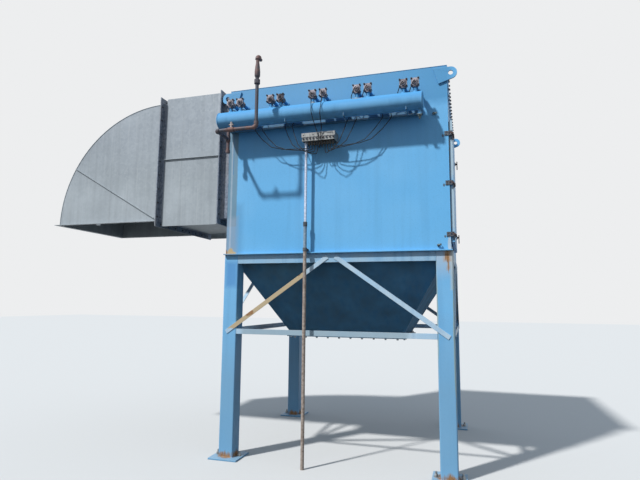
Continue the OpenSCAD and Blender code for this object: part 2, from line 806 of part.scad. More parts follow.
// A tube along the points, with flat ends that face along two given directions. Each ring
// takes its turn from the ring before it, so that the tube doesn't twist.
module sweep_tube(points, r, sides, start_way, end_way) {
    n = len(points);
    ways = [for (i = [0:n - 1])
        i == 0 ? start_way : i == n - 1 ? end_way : unit(points[i + 1] - points[i - 1])];
    across = [for (i = 0, a = square_to([1, 0, 0], ways[0]); i < n;
        i = i + 1, a = i < n ? square_to(a, ways[i]) : a) a];
    rings = [for (i = [0:n - 1]) let (up = cross(across[i], ways[i])) for (k = [0:sides - 1])
        points[i] + r * (cos(360 * k / sides) * across[i] + sin(360 * k / sides) * up)];
    walls = [for (i = [0:n - 2], k = [0:sides - 1]) let (a = i * sides, b = (k + 1) % sides)
        [a + k, a + b, a + sides + b, a + sides + k]];
    start = [[for (k = [sides - 1:-1:0]) k]];
    end = [[for (k = [0:sides - 1]) (n - 1) * sides + k]];
    polyhedron(points = rings, faces = concat(walls, start, end), convexity = 6);
}

module pilot_tubes() {
    color([0.1, 0.1, 0.1]) for (i = [0:len(valve_x) - 1])
        sweep_tube(smooth(tube_route(i), 2), tube_d / 2, tube_sides, [0, -1, 0], [0, 0, 1]);
}

// Conduit: from the solenoid box down past the flange to the ground

conduit_x = sol_x - sol_w / 2 + 21;
conduit_y = front_y - conduit_out;
module conduit() {
    joint_z = housing_base + conduit_joint_up;
    clamp_z = housing_base + 22;
    color(grey_zinc) {
        translate([conduit_x, conduit_y, 0]) {
            translate([0, 0, joint_z]) cylinder(d = conduit_d, h = sol_z - joint_z);
            cylinder(d = pipe_d, h = joint_z);
            translate([0, 0, joint_z - 22]) cylinder(d = pipe_d + 8, h = 44);
            translate([0, 0, sol_z - 14]) cylinder(d = conduit_d + 10, h = 14);
            translate([0, 0, clamp_z - 16]) cylinder(d = pipe_d + 10, h = 32);
        }
        block([conduit_x - 14, conduit_y, clamp_z - 12], [conduit_x + 14, front_y, clamp_z + 12]);
    }
}

// Air pipe: the supply comes in over the roof, down a riser, along a run below the header,
// back under the header and up into it, with a drip leg below

// A quarter bend of pipe about the origin, from +X to +Y, with bend radius bend_r
bend_r = 30;
module elbow_bend(d) {
    rotate_extrude(angle = 90) translate([bend_r, 0]) circle(d = d);
}

air_y = front_y - air_out;
air_z = header_z - air_down;
riser_x = -riser_left;
// Length of bare pipe left past the top bend, for the supply line
inlet_l = 45;
// Distance of the vent valve on the run from the feed pipe
vent_in = 158;
vent_h = 76;
// Length of a coupling, and of one half of a tee
coupling_l = 28;
module air_pipe() {
    fat = pipe_d + 12;
    feed_top = header_z - header_r - feed_coupling_h - seat_gap;
    feed_foot = air_z - drip_leg_h;
    color(rust) {
        // riser, with a union, a filter and a bend back over the roof
        translate([riser_x, air_y, air_z + bend_r]) cylinder(d = pipe_d, h = riser_h - 2 * bend_r);
        translate([riser_x, air_y, air_z + riser_h * 0.61]) cylinder(d = fat + 14, h = 40, $fn = 8);
        translate([riser_x, air_y, air_z + riser_h * 0.7]) rotate_extrude() polygon([[0, 0], [20, 0],
            [27, 14], [27, 60], [22, 110], [18, 140], [0, 140]]);
        translate([riser_x, air_y + bend_r, air_z + riser_h - bend_r]) rotate([0, -90, 0])
            rotate([0, 0, -90]) elbow_bend(fat + 4);
        translate([riser_x, air_y + bend_r, air_z + riser_h]) rotate([-90, 0, 0])
            cylinder(d = pipe_d, h = inlet_l);
        // foot bend of the riser
        translate([riser_x - bend_r, air_y, air_z + bend_r]) rotate([90, 0, 0]) rotate([0, 0, -90])
            elbow_bend(fat);
        translate([riser_x, air_y, air_z + bend_r + 4]) cylinder(d = fat, h = coupling_l);
        // run to the left, with a vent valve on a tee
        translate([feed_x + bend_r, air_y, air_z]) rotate([0, 90, 0])
            cylinder(d = pipe_d, h = riser_x - feed_x - 2 * bend_r);
        translate([feed_x + vent_in, air_y, air_z]) {
            translate([-coupling_l, 0, 0]) rotate([0, 90, 0]) cylinder(d = fat, h = 2 * coupling_l);
            cylinder(d = 20, h = vent_h);
            translate([0, 0, vent_h * 0.62]) rotate([0, 90, 0]) cylinder(d = 16, h = 44, center = true);
        }
        // back under the header
        translate([feed_x + bend_r, air_y + bend_r, air_z]) rotate([0, 0, 180]) elbow_bend(fat);
        translate([feed_x, air_y + bend_r, air_z]) rotate([-90, 0, 0])
            cylinder(d = pipe_d, h = header_y - air_y - bend_r);
        translate([feed_x, header_y - coupling_l - 8, air_z]) rotate([-90, 0, 0])
            cylinder(d = fat, h = coupling_l);
        // up into the header, and a capped drip leg
        translate([feed_x, header_y, feed_foot]) cylinder(d = pipe_d, h = feed_top - feed_foot);
        translate([feed_x, header_y, air_z - coupling_l]) cylinder(d = fat, h = 2 * coupling_l);
        translate([feed_x, header_y, feed_foot]) cylinder(d = fat, h = coupling_l);
    }
}

// Duct: a collar on the housing, a flanged box, and a radius elbow with a square throat

collar_x = -half_w - collar_l;
box_x = collar_x - box_l;
sheet = [duct_t, duct_t];
duct_in_low = duct_low + sheet;
duct_in_high = duct_high - sheet;

// An angle frame round the duct, its upright leg from x0 towards +X or -X
module angle_frame(x0, way) {
    flat_x = [x0, x0 + way * frame_t];
    leg_x0 = [x0, x0 + way * frame_w];
    along_x(min(flat_x), max(flat_x)) rect_ring(duct_low, duct_high, frame_h);
    along_x(min(leg_x0), max(leg_x0)) rect_ring(duct_low, duct_high, frame_t);
}

module duct_collar() {
    color(dark_frame) {
        along_x(collar_x, -half_w) rect_ring(duct_in_low, duct_in_high, duct_t);
        angle_frame(collar_x, 1);
    }
}

// The upper and lower edges that a side panel of the box has between the end frames
edge_h = frame_h - 5;
module panel_edges(y0, y1) {
    along_x(box_x + frame_w + 2, collar_x - frame_w - 2) {
        translate([y0, duct_high.y - 1]) square([y1 - y0, edge_h + 1]);
        translate([y0, duct_low.y - edge_h]) square([y1 - y0, edge_h + 1]);
    }
}

// Two front panels that meet in a standing seam
module box_front_panels() {
    seam_z = duct_low.y + panel_seam_up;
    y = duct_low.x;
    color(grey_zinc) panel_edges(y, y + duct_t);
    color(grey_zinc) along_x(box_x, collar_x) {
        translate([y, duct_low.y]) square([duct_t, panel_seam_up - seat_gap]);
        translate([y, seam_z]) square([duct_t, duct_high.y - seam_z]);
    }
    color(grey_zinc) along_x(box_x + frame_w + 2, collar_x - frame_w - 2) {
        translate([y - seam_h, seam_z - seat_gap - duct_t]) square([seam_h + 1, duct_t]);
        translate([y - seam_h, seam_z]) square([seam_h + 1, duct_t]);
    }
}

module box_back_panel() {
    color(grey_zinc) {
        block([box_x, duct_high.x - duct_t, duct_low.y], [collar_x, duct_high.x, duct_high.y]);
        panel_edges(duct_high.x - duct_t, duct_high.x);
    }
}

module box_top_bottom_panels() {
    color(grey_zinc) for (z = [duct_low.y, duct_high.y - duct_t])
        block([box_x, duct_in_low.x, z], [collar_x, duct_in_high.x, z + duct_t]);
}

module box_end_frames() {
    color(dark_frame) {
        angle_frame(collar_x, -1);
        angle_frame(box_x, 1);
    }
}

// Elbow: a quarter circle about the throat corner
elbow_x = box_x;
elbow_z = duct_low.y;
lock_lip = 8;

// A quarter disc in X and Z, from the throat corner to the left and up
module quarter_disc(r) {
    translate([elbow_x, elbow_z]) intersection() {
        circle(r);
        translate([-r, 0]) square([r, r]);
    }
}

// A flat cheek with its standing seam on the outside
module elbow_cheek(y0, seam_side) {
    seam_y = seam_side < 0 ? [y0 - seam_h, y0 + 0.5] : [y0 + duct_t - 0.5, y0 + duct_t + seam_h];
    along_y(y0, y0 + duct_t) {
        quarter_disc(duct_h);
        intersection() {
            quarter_disc(duct_h + lock_lip);
            translate([elbow_x - frame_t - seat_gap - duct_h - lock_lip, elbow_z])
                square(duct_h + lock_lip);
        }
    }
    along_y(seam_y[0], seam_y[1]) translate([elbow_x, elbow_z]) rotate(180 - seam_angle)
        translate([frame_w + 30, -seam_t / 2]) square([duct_h - frame_w - 30, seam_t]);
}

module elbow_front_cheek() { color(grey_zinc) elbow_cheek(duct_low.x, -1); }
module elbow_back_cheek() { color(grey_zinc) elbow_cheek(duct_high.x - duct_t, 1); }

// The curved heel sheet between the cheeks, with the seam across it
module elbow_heel() {
    color(grey_zinc) {
        along_y(duct_in_low.x, duct_in_high.x) difference() {
            quarter_disc(duct_h);
            translate([elbow_x, elbow_z]) circle(duct_h - duct_t);
        }
        along_y(duct_in_low.x, duct_in_high.x) translate([elbow_x, elbow_z]) rotate(180 - seam_angle)
            translate([duct_h - 0.5, -seam_t / 2]) square([seam_h, seam_t]);
    }
}

module elbow_inlet_flange() {
    color(dark_frame) along_x(box_x - frame_t, box_x) rect_ring(duct_low, duct_high, frame_h);
}

// The flat frame round the elbow's open mouth, on its three free sides
module elbow_mouth_frame() {
    far = elbow_x - duct_h - lock_lip;
    near = box_x - frame_t;
    color(grey_zinc) translate([0, 0, elbow_z - frame_t]) linear_extrude(frame_t) difference() {
        translate([far - frame_w, duct_low.x - frame_w])
            square([near - far + frame_w, duct_d + 2 * frame_w]);
        translate([elbow_x - duct_h + duct_t, duct_in_low.x]) square([duct_h, duct_d - 2 * duct_t]);
    }
}

front_left_leg();
front_right_leg();
back_left_leg();
back_right_leg();
base_plates();
top_rails();
front_bracing();
back_bracing();
side_bracing();
base_flange();
front_wall();
back_wall();
left_wall();
right_wall_beside_door();
right_wall_over_under_door();
roof_panel();
plenum_cover();
lifting_lugs();
hopper_front();
hopper_back();
hopper_sides();
hopper_flange();
hopper_cover();
hinge_brackets();
access_door();
door_hardware();
header_shell();
header_end_caps();
header_shelf();
pulse_valves();
blow_pipes();
solenoid_box();
pilot_tubes();
conduit();
air_pipe();
duct_collar();
box_front_panels();
box_back_panel();
box_top_bottom_panels();
box_end_frames();
elbow_front_cheek();
elbow_back_cheek();
elbow_heel();
elbow_inlet_flange();
elbow_mouth_frame();
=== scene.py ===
import math
import random

import bmesh
import bpy
from mathutils import Matrix, Vector


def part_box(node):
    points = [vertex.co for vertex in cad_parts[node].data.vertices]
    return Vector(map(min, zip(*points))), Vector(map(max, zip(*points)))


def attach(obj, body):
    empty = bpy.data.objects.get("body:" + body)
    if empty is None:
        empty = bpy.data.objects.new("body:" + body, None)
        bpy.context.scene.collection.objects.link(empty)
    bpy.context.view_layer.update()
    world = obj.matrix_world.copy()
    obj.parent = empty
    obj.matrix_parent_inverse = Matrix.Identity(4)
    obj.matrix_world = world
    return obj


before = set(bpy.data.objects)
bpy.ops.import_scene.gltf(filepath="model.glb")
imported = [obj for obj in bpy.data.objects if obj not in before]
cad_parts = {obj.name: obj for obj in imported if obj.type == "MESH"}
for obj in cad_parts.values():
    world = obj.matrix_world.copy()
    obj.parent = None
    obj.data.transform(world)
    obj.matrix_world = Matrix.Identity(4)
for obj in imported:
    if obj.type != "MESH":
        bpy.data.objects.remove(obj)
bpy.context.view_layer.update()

random.seed(27)

# The view: a camera at eye height, in front of the housing's right end. It is turned to the
# left, tipped up and rolled a little. It belongs to the picture and not to the object.
EYE = Vector((1.247, -5.636, 1.52))
TURNED_LEFT = math.radians(16.56)
TIPPED_UP = math.radians(7.28)
ROLLED = math.radians(0.51)
LENS_MM = 27.675
SENSOR_MM = 36
camera = bpy.data.objects.new("view_camera", bpy.data.cameras.new("view_camera"))
bpy.context.scene.collection.objects.link(camera)
bpy.context.scene.camera = camera
camera.data.lens = LENS_MM
camera.data.sensor_width = SENSOR_MM
camera.location = EYE
turn = Matrix.Rotation(TURNED_LEFT, 3, "Z") @ Matrix.Rotation(math.pi / 2 + TIPPED_UP, 3, "X")
camera.rotation_euler = (turn @ Matrix.Rotation(ROLLED, 3, "Z")).to_euler()
bpy.context.scene.view_settings.view_transform = "Standard"

# The studio: a pale floor without texture, a soft lamp high on the front left and an even
# pale surround. The floor and the surround are not part of the object.


def linear(colour):
    """The linear red, green, blue and alpha of a colour written as sRGB hex."""
    parts = [int(colour[i:i + 2], 16) / 255 for i in (1, 3, 5)]
    return [c / 12.92 if c < 0.04045 else ((c + 0.055) / 1.055) ** 2.4 for c in parts] + [1]


def add_node(tree, kind, inputs=None, **settings):
    """Adds one shader node. An input takes a value, or the output that it is linked to."""
    node = tree.nodes.new("ShaderNode" + kind)
    for name, value in settings.items():
        setattr(node, name, value)
    for name, value in (inputs or {}).items():
        if isinstance(value, bpy.types.NodeSocket):
            tree.links.new(value, node.inputs[name])
        else:
            node.inputs[name].default_value = value
    return node


def seen_and_cast(tree, seen_tone, cast_tone):
    """The tone that the camera and reflections see, and the one that lights the object."""
    rays = add_node(tree, "LightPath").outputs
    seen = add_node(tree, "Math", {0: rays["Is Camera Ray"], 1: rays["Is Glossy Ray"]},
                    operation="MAXIMUM").outputs[0]
    seen = add_node(tree, "Math", {0: seen, 1: rays["Is Transmission Ray"]},
                    operation="MAXIMUM").outputs[0]
    return add_node(tree, "Mix", {0: seen, 6: linear(cast_tone), 7: linear(seen_tone)},
                    data_type="RGBA").outputs[2]


FLOOR_SEEN = "#C6C6C4"
FLOOR_CAST = "#383837"
SURROUND_SEEN = "#EDEEEF"
SURROUND_CAST = "#AFBCCB"
FLOOR_HALF = 40.0
LAMP_FROM = Vector((-0.38, -0.50, 0.70))
LAMP_STRENGTH = 4.0
LAMP_SOFTNESS = math.radians(3)

floor_mesh = bpy.data.meshes.new("studio_floor")
corners = [(-FLOOR_HALF, -FLOOR_HALF, 0), (FLOOR_HALF, -FLOOR_HALF, 0),
           (FLOOR_HALF, FLOOR_HALF, 0), (-FLOOR_HALF, FLOOR_HALF, 0)]
floor_mesh.from_pydata(corners, [], [(0, 1, 2, 3)])
studio_floor = bpy.data.objects.new("studio_floor", floor_mesh)
bpy.context.scene.collection.objects.link(studio_floor)
floor_paint = bpy.data.materials.new("matt_floor_paint")
floor_paint.use_nodes = True
tree = floor_paint.node_tree
tree.nodes.clear()
matt = add_node(tree, "BsdfDiffuse", {"Color": seen_and_cast(tree, FLOOR_SEEN, FLOOR_CAST)})
add_node(tree, "OutputMaterial", {"Surface": matt.outputs[0]})
floor_mesh.materials.append(floor_paint)

world = bpy.data.worlds.new("pale_surround")
bpy.context.scene.world = world
world.use_nodes = True
tree = world.node_tree
tree.nodes.clear()
glow = add_node(tree, "Background", {"Color": seen_and_cast(tree, SURROUND_SEEN, SURROUND_CAST),
                                     "Strength": 1.0})
add_node(tree, "OutputWorld", {"Surface": glow.outputs[0]})

lamp = bpy.data.objects.new("soft_lamp", bpy.data.lights.new("soft_lamp", "SUN"))
bpy.context.scene.collection.objects.link(lamp)
lamp.data.energy = LAMP_STRENGTH
lamp.data.angle = LAMP_SOFTNESS
lamp.rotation_euler = LAMP_FROM.to_track_quat("Z", "Y").to_euler()

# Legs: four square steel tubes, welded to their base plates and sprayed with sky blue alkyd
# enamel. Dust has dulled their lower half, and the right leg has a chalky veil and an ochre
# run of rust at its top, where rain comes off the rail.


def new_material(name):
    """An empty material: its node tree, where its patterns sit, and its shader.

    Patterns sit in metres, so a scale is 1000 over the size of its spots in millimetres.
    """
    material = bpy.data.materials.new(name)
    material.use_nodes = True
    tree = material.node_tree
    tree.nodes.clear()
    place = add_node(tree, "TexCoord").outputs["Object"]
    shader = add_node(tree, "BsdfPrincipled")
    add_node(tree, "OutputMaterial", {"Surface": shader.outputs[0]})
    return material, tree, place, shader


def laid_over(tree, under, over, pattern, low=0.0, high=1.0, most=1.0):
    """One colour laid over another where a pattern rises from low to high."""
    share = add_node(tree, "MapRange", {"Value": pattern, "From Min": low, "From Max": high,
                                        "To Max": most})
    under, over = [linear(tone) if isinstance(tone, str) else tone for tone in (under, over)]
    return add_node(tree, "Mix", {0: share.outputs[0], 6: under, 7: over},
                    data_type="RGBA").outputs[2]


def streaks(tree, place, wide_mm, long_mm):
    """A pattern drawn out along the height, with a width and a length in millimetres."""
    drawn_out = (1000 / wide_mm, 1000 / wide_mm, 1000 / long_mm)
    drawn = add_node(tree, "Mapping", {"Vector": place, "Scale": drawn_out}).outputs[0]
    return add_node(tree, "TexNoise", {"Vector": drawn, "Scale": 1.0, "Detail": 5}).outputs[0]


def stained(tree, place, spots, ragged_mm, stretch):
    """How far any of the spots stains a point, from 0 to 1, with a ragged edge.

    A spot is a centre and how far it reaches along X, Y and Z, in metres. It stains where its
    nearness and the noise, each from 0 to 1, add up to more than 0.72.
    """
    spread = add_node(tree, "Mapping", {"Vector": place, "Scale": stretch})
    ragged = add_node(tree, "TexNoise", {"Vector": spread.outputs[0], "Scale": 1000 / ragged_mm,
                                         "Detail": 6, "Roughness": 0.7})
    nearest = None
    for centre, reach in spots:
        offset = add_node(tree, "VectorMath", {0: place, 1: centre}, operation="SUBTRACT")
        share = add_node(tree, "VectorMath", {0: offset.outputs[0], 1: reach}, operation="DIVIDE")
        far = add_node(tree, "VectorMath", {0: share.outputs[0]}, operation="LENGTH")
        near = add_node(tree, "MapRange", {"Value": far.outputs["Value"], "From Min": 1.0,
                                           "From Max": 0.0})
        if nearest is None:
            nearest = near.outputs[0]
        else:
            nearest = add_node(tree, "Math", {0: nearest, 1: near.outputs[0]},
                               operation="MAXIMUM").outputs[0]
    both = add_node(tree, "Math", {0: nearest, 1: ragged.outputs["Fac"]}, operation="ADD")
    edge = add_node(tree, "MapRange", {"Value": both.outputs[0], "From Min": 0.72,
                                       "From Max": 1.0}, interpolation_type="SMOOTHSTEP")
    inside = add_node(tree, "Math", {0: nearest, 1: 0.001}, operation="GREATER_THAN")
    return add_node(tree, "Math", {0: edge.outputs[0], 1: inside.outputs[0]},
                    operation="MULTIPLY").outputs[0]


def boxed(tree, place, low, high, soft_mm, ragged_mm=0):
    """From 0 to 1 inside a box between two corners, with a soft and ragged edge.

    The noise is 0.5 on average, so twice the ragged depth of it moves the edge by that depth.
    """
    low, high = Vector(low), Vector(high)
    offset = add_node(tree, "VectorMath", {0: place, 1: (low + high) / 2}, operation="SUBTRACT")
    away = add_node(tree, "VectorMath", {0: offset.outputs[0]}, operation="ABSOLUTE")
    past = add_node(tree, "VectorMath", {0: away.outputs[0], 1: (high - low) / 2},
                    operation="SUBTRACT")
    along = add_node(tree, "SeparateXYZ", {"Vector": past.outputs[0]}).outputs
    most = add_node(tree, "Math", {0: along[0], 1: along[1]}, operation="MAXIMUM").outputs[0]
    most = add_node(tree, "Math", {0: most, 1: along[2]}, operation="MAXIMUM").outputs[0]
    if ragged_mm:
        wander = add_node(tree, "TexNoise", {"Vector": place, "Scale": 1000 / 45.5,
                                             "Detail": 5}).outputs[0]
        most = add_node(tree, "Math", {0: wander, 1: ragged_mm / 500, 2: most},
                        operation="MULTIPLY_ADD").outputs[0]
    return add_node(tree, "MapRange", {"Value": most, "From Min": (ragged_mm + soft_mm) / 1000,
                                       "From Max": ragged_mm / 1000}).outputs[0]


WORN_REACH_MM = 4


def worn_edges(tree, place):
    """From 0 to 1 close to a sharp edge, where handling and weather have chipped it.

    An edge is where the rounded surface leans 6 to 20 degrees away from the flat one.
    """
    rounded = add_node(tree, "Bevel", {"Radius": WORN_REACH_MM / 1000}, samples=4).outputs[0]
    flat = add_node(tree, "NewGeometry").outputs["Normal"]
    facing = add_node(tree, "VectorMath", {0: rounded, 1: flat}, operation="DOT_PRODUCT")
    edge = add_node(tree, "MapRange", {"Value": facing.outputs["Value"], "From Min": 0.995,
                                       "From Max": 0.94}).outputs[0]
    chips = add_node(tree, "TexNoise", {"Vector": place, "Scale": 1000 / 16.67, "Detail": 5})
    broken = add_node(tree, "MapRange", {"Value": chips.outputs[0], "From Min": 0.44,
                                         "From Max": 0.6}).outputs[0]
    return add_node(tree, "Math", {0: edge, 1: broken}, operation="MULTIPLY").outputs[0]


def finish(tree, shader, colour, roughness, bumps, metallic=0.0, specular=0.5):
    """Links a colour, a roughness and a stack of bumps, and sets what is the same all over.

    Roughness is a pattern and its two ends. A bump is a pattern, its depth in millimetres and
    its strength.
    """
    pattern, smooth, rough = roughness
    spread = add_node(tree, "MapRange", {"Value": pattern, "To Min": smooth, "To Max": rough})
    normal = None
    for height, depth_mm, strength in bumps:
        normal = add_node(tree, "Bump", {"Height": height, "Strength": strength,
                                         "Distance": depth_mm / 1000,
                                         **({"Normal": normal} if normal else {})}).outputs[0]
    tree.links.new(colour, shader.inputs["Base Color"])
    tree.links.new(spread.outputs[0], shader.inputs["Roughness"])
    tree.links.new(normal, shader.inputs["Normal"])
    shader.inputs["Metallic"].default_value = metallic
    shader.inputs["Specular IOR Level"].default_value = specular


ENAMEL = "#62AEDF"
ENAMEL_BLEACHED = "#7ABBE4"
ENAMEL_DIRTY = "#467DA6"
ENAMEL_FADED = "#8BA5AA"
ENAMEL_SCUFFED = "#7C8F9E"
ENAMEL_SMUDGED = "#4A6175"
RUST_DEEP = "#694832"
RUST_BRIGHT = "#A47C4C"
PRIMER = "#B5B2A4"
PRIMER_TAN = "#B7A27C"
DUST = "#8D9AA0"
PAINT_IOR = 1.5


def sky_blue_enamel(name, film=None, boxes=(), stains=(), rust=(), grime=0.25,
                    roughness=(0.36, 0.6), specular=0.5):
    """Alkyd enamel sprayed on steel plate: half gloss, a fine orange peel and rain runs.

    It gives the eye a soft sky blue, bleached in clouds, with chips of pale primer on edges.
    A film is a tone and how much of it covers the paint all over. A box is two corners, a
    tone, its share, and how soft and ragged its edge is. A stain is spots and a tone.
    """
    material, tree, place, shader = new_material(name)
    # clouds of bleaching about 700 mm across
    clouds = add_node(tree, "TexNoise", {"Vector": place, "Scale": 1000 / 714, "Detail": 5}).outputs[0]
    colour = laid_over(tree, ENAMEL, ENAMEL_BLEACHED, clouds, 0.42, 0.68, 0.4)
    # a film of dust or chalk lies in patches about 170 mm across
    if film:
        uneven = add_node(tree, "TexNoise", {"Vector": place, "Scale": 1000 / 167,
                                             "Detail": 6}).outputs[0]
        colour = laid_over(tree, colour, film[0], uneven, -0.4, 0.8, film[1])
    # rain runs about 60 mm wide and over a metre long
    runs = streaks(tree, place, 60, 1400)
    colour = laid_over(tree, colour, ENAMEL_DIRTY, runs, 0.5, 0.78, grime)
    # specks of dirt about 6 mm across
    specks = add_node(tree, "TexNoise", {"Vector": place, "Scale": 1000 / 6.25, "Detail": 2}).outputs[0]
    colour = laid_over(tree, colour, ENAMEL_DIRTY, specks, 0.55, 0.8, 0.35)
    for low, high, tone, share, soft_mm, ragged_mm in boxes:
        mask = boxed(tree, place, low, high, soft_mm, ragged_mm)
        colour = laid_over(tree, colour, tone, mask, most=share)
    for spots, tone in stains:
        colour = laid_over(tree, colour, tone, stained(tree, place, spots, 71.4, (1, 1, 0.35)))
    # dust lies on what faces up
    up = add_node(tree, "SeparateXYZ", {"Vector": add_node(tree, "NewGeometry").outputs["Normal"]})
    colour = laid_over(tree, colour, DUST, up.outputs["Z"], 0.93, 1.0, 0.35)
    colour = laid_over(tree, colour, PRIMER, worn_edges(tree, place), most=0.55)
    # orange peel is under 2 mm across, and is drawn nearly 4 mm coarse, so that it shows. The
    # plate's own waves are about 450 mm long.
    peel = add_node(tree, "TexNoise", {"Vector": place, "Scale": 1000 / 3.85, "Detail": 2}).outputs[0]
    waves = add_node(tree, "TexNoise", {"Vector": place, "Scale": 1000 / 455, "Detail": 1}).outputs[0]
    rough = clouds
    bumps = [(waves, 20, 0.25), (peel, 1, 0.12)]
    # rust is rougher than paint. Its grain is about 1 mm, and is drawn 14 mm coarse, to show.
    if rust:
        mask = stained(tree, place, rust, 38.5, (1, 1, 0.22))
        grain = add_node(tree, "TexNoise", {"Vector": place, "Scale": 1000 / 14.3,
                                            "Detail": 6}).outputs[0]
        oxide = laid_over(tree, RUST_DEEP, RUST_BRIGHT, grain, 0.25, 0.75)
        colour = laid_over(tree, colour, oxide, mask)
        rough = add_node(tree, "Math", {0: mask, 1: 1.4, 2: clouds},
                         operation="MULTIPLY_ADD").outputs[0]
        bumps.append((mask, 0.8, 0.5))
    finish(tree, shader, colour, (rough, *roughness), bumps, specular=specular)
    shader.inputs["IOR"].default_value = PAINT_IOR
    return material


MERGE_MM = 0.01
SHARP_DEG = 40


def dress(node_name, material, edge_mm):
    """Gives a CAD node its material and softly rounded edges, and leaves its mesh alone."""
    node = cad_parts[node_name]
    node.data.materials.clear()
    node.data.materials.append(material)
    weld = node.modifiers.new("merge_corners", "WELD")
    weld.merge_threshold = MERGE_MM / 1000
    if edge_mm:
        bevel = node.modifiers.new("rounded_edges", "BEVEL")
        bevel.width = edge_mm / 1000
        bevel.segments = 2
        bevel.limit_method = "ANGLE"
        bevel.angle_limit = math.radians(SHARP_DEG)
        bevel.use_clamp_overlap = True
        bevel.harden_normals = True


RUST_RUN_IN = 0.050
DUSTY_BLUE = "#6F93AC"
# the deeper blue is painted shade on the left leg's top
LEG_SHADE_BLUE = "#3F80BC"
CHALK_VEIL = "#B4BFC8"
PALE_EDGE = "#BFC0B2"
OCHRE = "#B08A5E"
OCHRE_THIN = "#A8855F"
LEG_FILM = "#9AB4C4"
leg_low, leg_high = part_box("front_right_leg")
leg_top_z = leg_high.z
leg_edge_x = leg_high.x
leg_face_y = leg_low.y
leg_w = leg_high.x - leg_low.x
leg_middle_x = leg_edge_x - leg_w / 2
leg_middle_y = abs(leg_face_y) - leg_w / 2
FOUR_CORNERS = [(x, y) for x in (-1, 1) for y in (-1, 1)]
# places on the right leg's front face, from its outer edge and its top
streak_x = leg_edge_x - RUST_RUN_IN
leg_rust = [((streak_x, leg_face_y, leg_top_z - 0.05), (0.011, 0.04, 0.075)),
            ((streak_x + 0.009, leg_face_y, leg_top_z - 0.12), (0.006, 0.04, 0.15)),
            ((streak_x - 0.015, leg_face_y, leg_top_z - 0.05), (0.006, 0.04, 0.06))]
foot_rust = [((side * leg_middle_x, end * leg_middle_y, 0.02), (0.16, 0.16, 0.10))
             for side, end in FOUR_CORNERS]
leg_faded = [((leg_edge_x, leg_face_y, 1.2), (0.022, 0.03, 1.0)),
             ((leg_edge_x - leg_w, leg_face_y, 1.4), (0.018, 0.03, 0.8))]
# a dusty lower half, painted shade in a deeper blue at the left leg's top, a pale veil over the
# right leg's top, a pale strip down its edge and ochre where rust has run
LEG_REACH = Vector((0.02, 0.02, 0.02))
leg_boxes = [
    ((-2, -2, -0.2), (2, 2, 0.75), DUSTY_BLUE, 0.5, 700, 0),
    ((-leg_edge_x + 0.045, leg_face_y - 0.02, leg_top_z - 0.30),
     (-leg_edge_x + 0.120, leg_face_y + 0.01, leg_top_z - 0.10), LEG_SHADE_BLUE, 0.65, 55, 10),
    (leg_low + Vector((0, -0.02, leg_top_z - leg_low.z - 0.05)), leg_high + LEG_REACH,
     CHALK_VEIL, 0.65, 230, 25),
    ((leg_edge_x - 0.014, leg_face_y - 0.02, leg_top_z - 0.34), leg_high + LEG_REACH,
     PALE_EDGE, 0.55, 24, 12),
    ((streak_x - 0.008, leg_face_y - 0.02, leg_top_z - 0.07),
     (streak_x + 0.012, leg_face_y + 0.01, leg_top_z + 0.02), OCHRE, 0.8, 36, 24),
    ((streak_x + 0.002, leg_face_y - 0.02, leg_top_z - 0.17),
     (streak_x + 0.012, leg_face_y + 0.01, leg_top_z), OCHRE_THIN, 0.6, 16, 16)]
leg_enamel = sky_blue_enamel("sky_blue_enamel_on_legs", film=(LEG_FILM, 0.27), boxes=leg_boxes,
                             rust=leg_rust + foot_rust, stains=[(leg_faded, ENAMEL_FADED)])
for leg in ("front_left_leg", "front_right_leg", "back_left_leg", "back_right_leg"):
    dress(leg, leg_enamel, 0)

# Base plates: flame cut steel squares under the legs, with a fillet weld round each foot.
# Hot dip galvanised anchor studs come up through them, with a nut and a washer each. Zinc
# gives the studs a mottled pale grey.
dress("base_plates", leg_enamel, 2.0)
galvanised_steel, tree, place, shader = new_material("hot_dip_galvanised_steel")
blotches = add_node(tree, "TexNoise", {"Vector": place, "Scale": 1000 / 16.67, "Detail": 4}).outputs[0]
bloom = add_node(tree, "TexNoise", {"Vector": place, "Scale": 1000 / 5.26, "Detail": 5}).outputs[0]
colour = laid_over(tree, "#6E7274", "#A9ADAE", blotches, 0.3, 0.7)
colour = laid_over(tree, colour, "#C4C6C3", bloom, 0.58, 0.7, 0.5)
finish(tree, shader, colour, (blotches, 0.38, 0.7), [(blotches, 1, 0.2), (bloom, 0.4, 0.25)],
       metallic=0.8)


def turned(shape, foot, way, profile, sides=20, spin=0.0):
    """Adds a turned form: profile gives height and radius from its foot along a direction."""
    along = Vector(way).normalized()
    across = Vector((0, 0, 1)) if abs(along.z) < 0.9 else Vector((1, 0, 0))
    across = (across - along * across.dot(along)).normalized()
    up = along.cross(across)
    rings = []
    for height, radius in profile:
        middle = Vector(foot) + along * height
        ring = []
        for i in range(sides):
            angle = 2 * math.pi * i / sides + spin
            ring.append(shape.verts.new(
                middle + radius * (math.cos(angle) * across + math.sin(angle) * up)))
        rings.append(ring)
    for low, high in zip(rings, rings[1:]):
        for i in range(sides):
            j = (i + 1) % sides
            shape.faces.new((low[i], low[j], high[j], high[i]))
    shape.faces.new(rings[0][::-1])
    shape.faces.new(rings[-1])


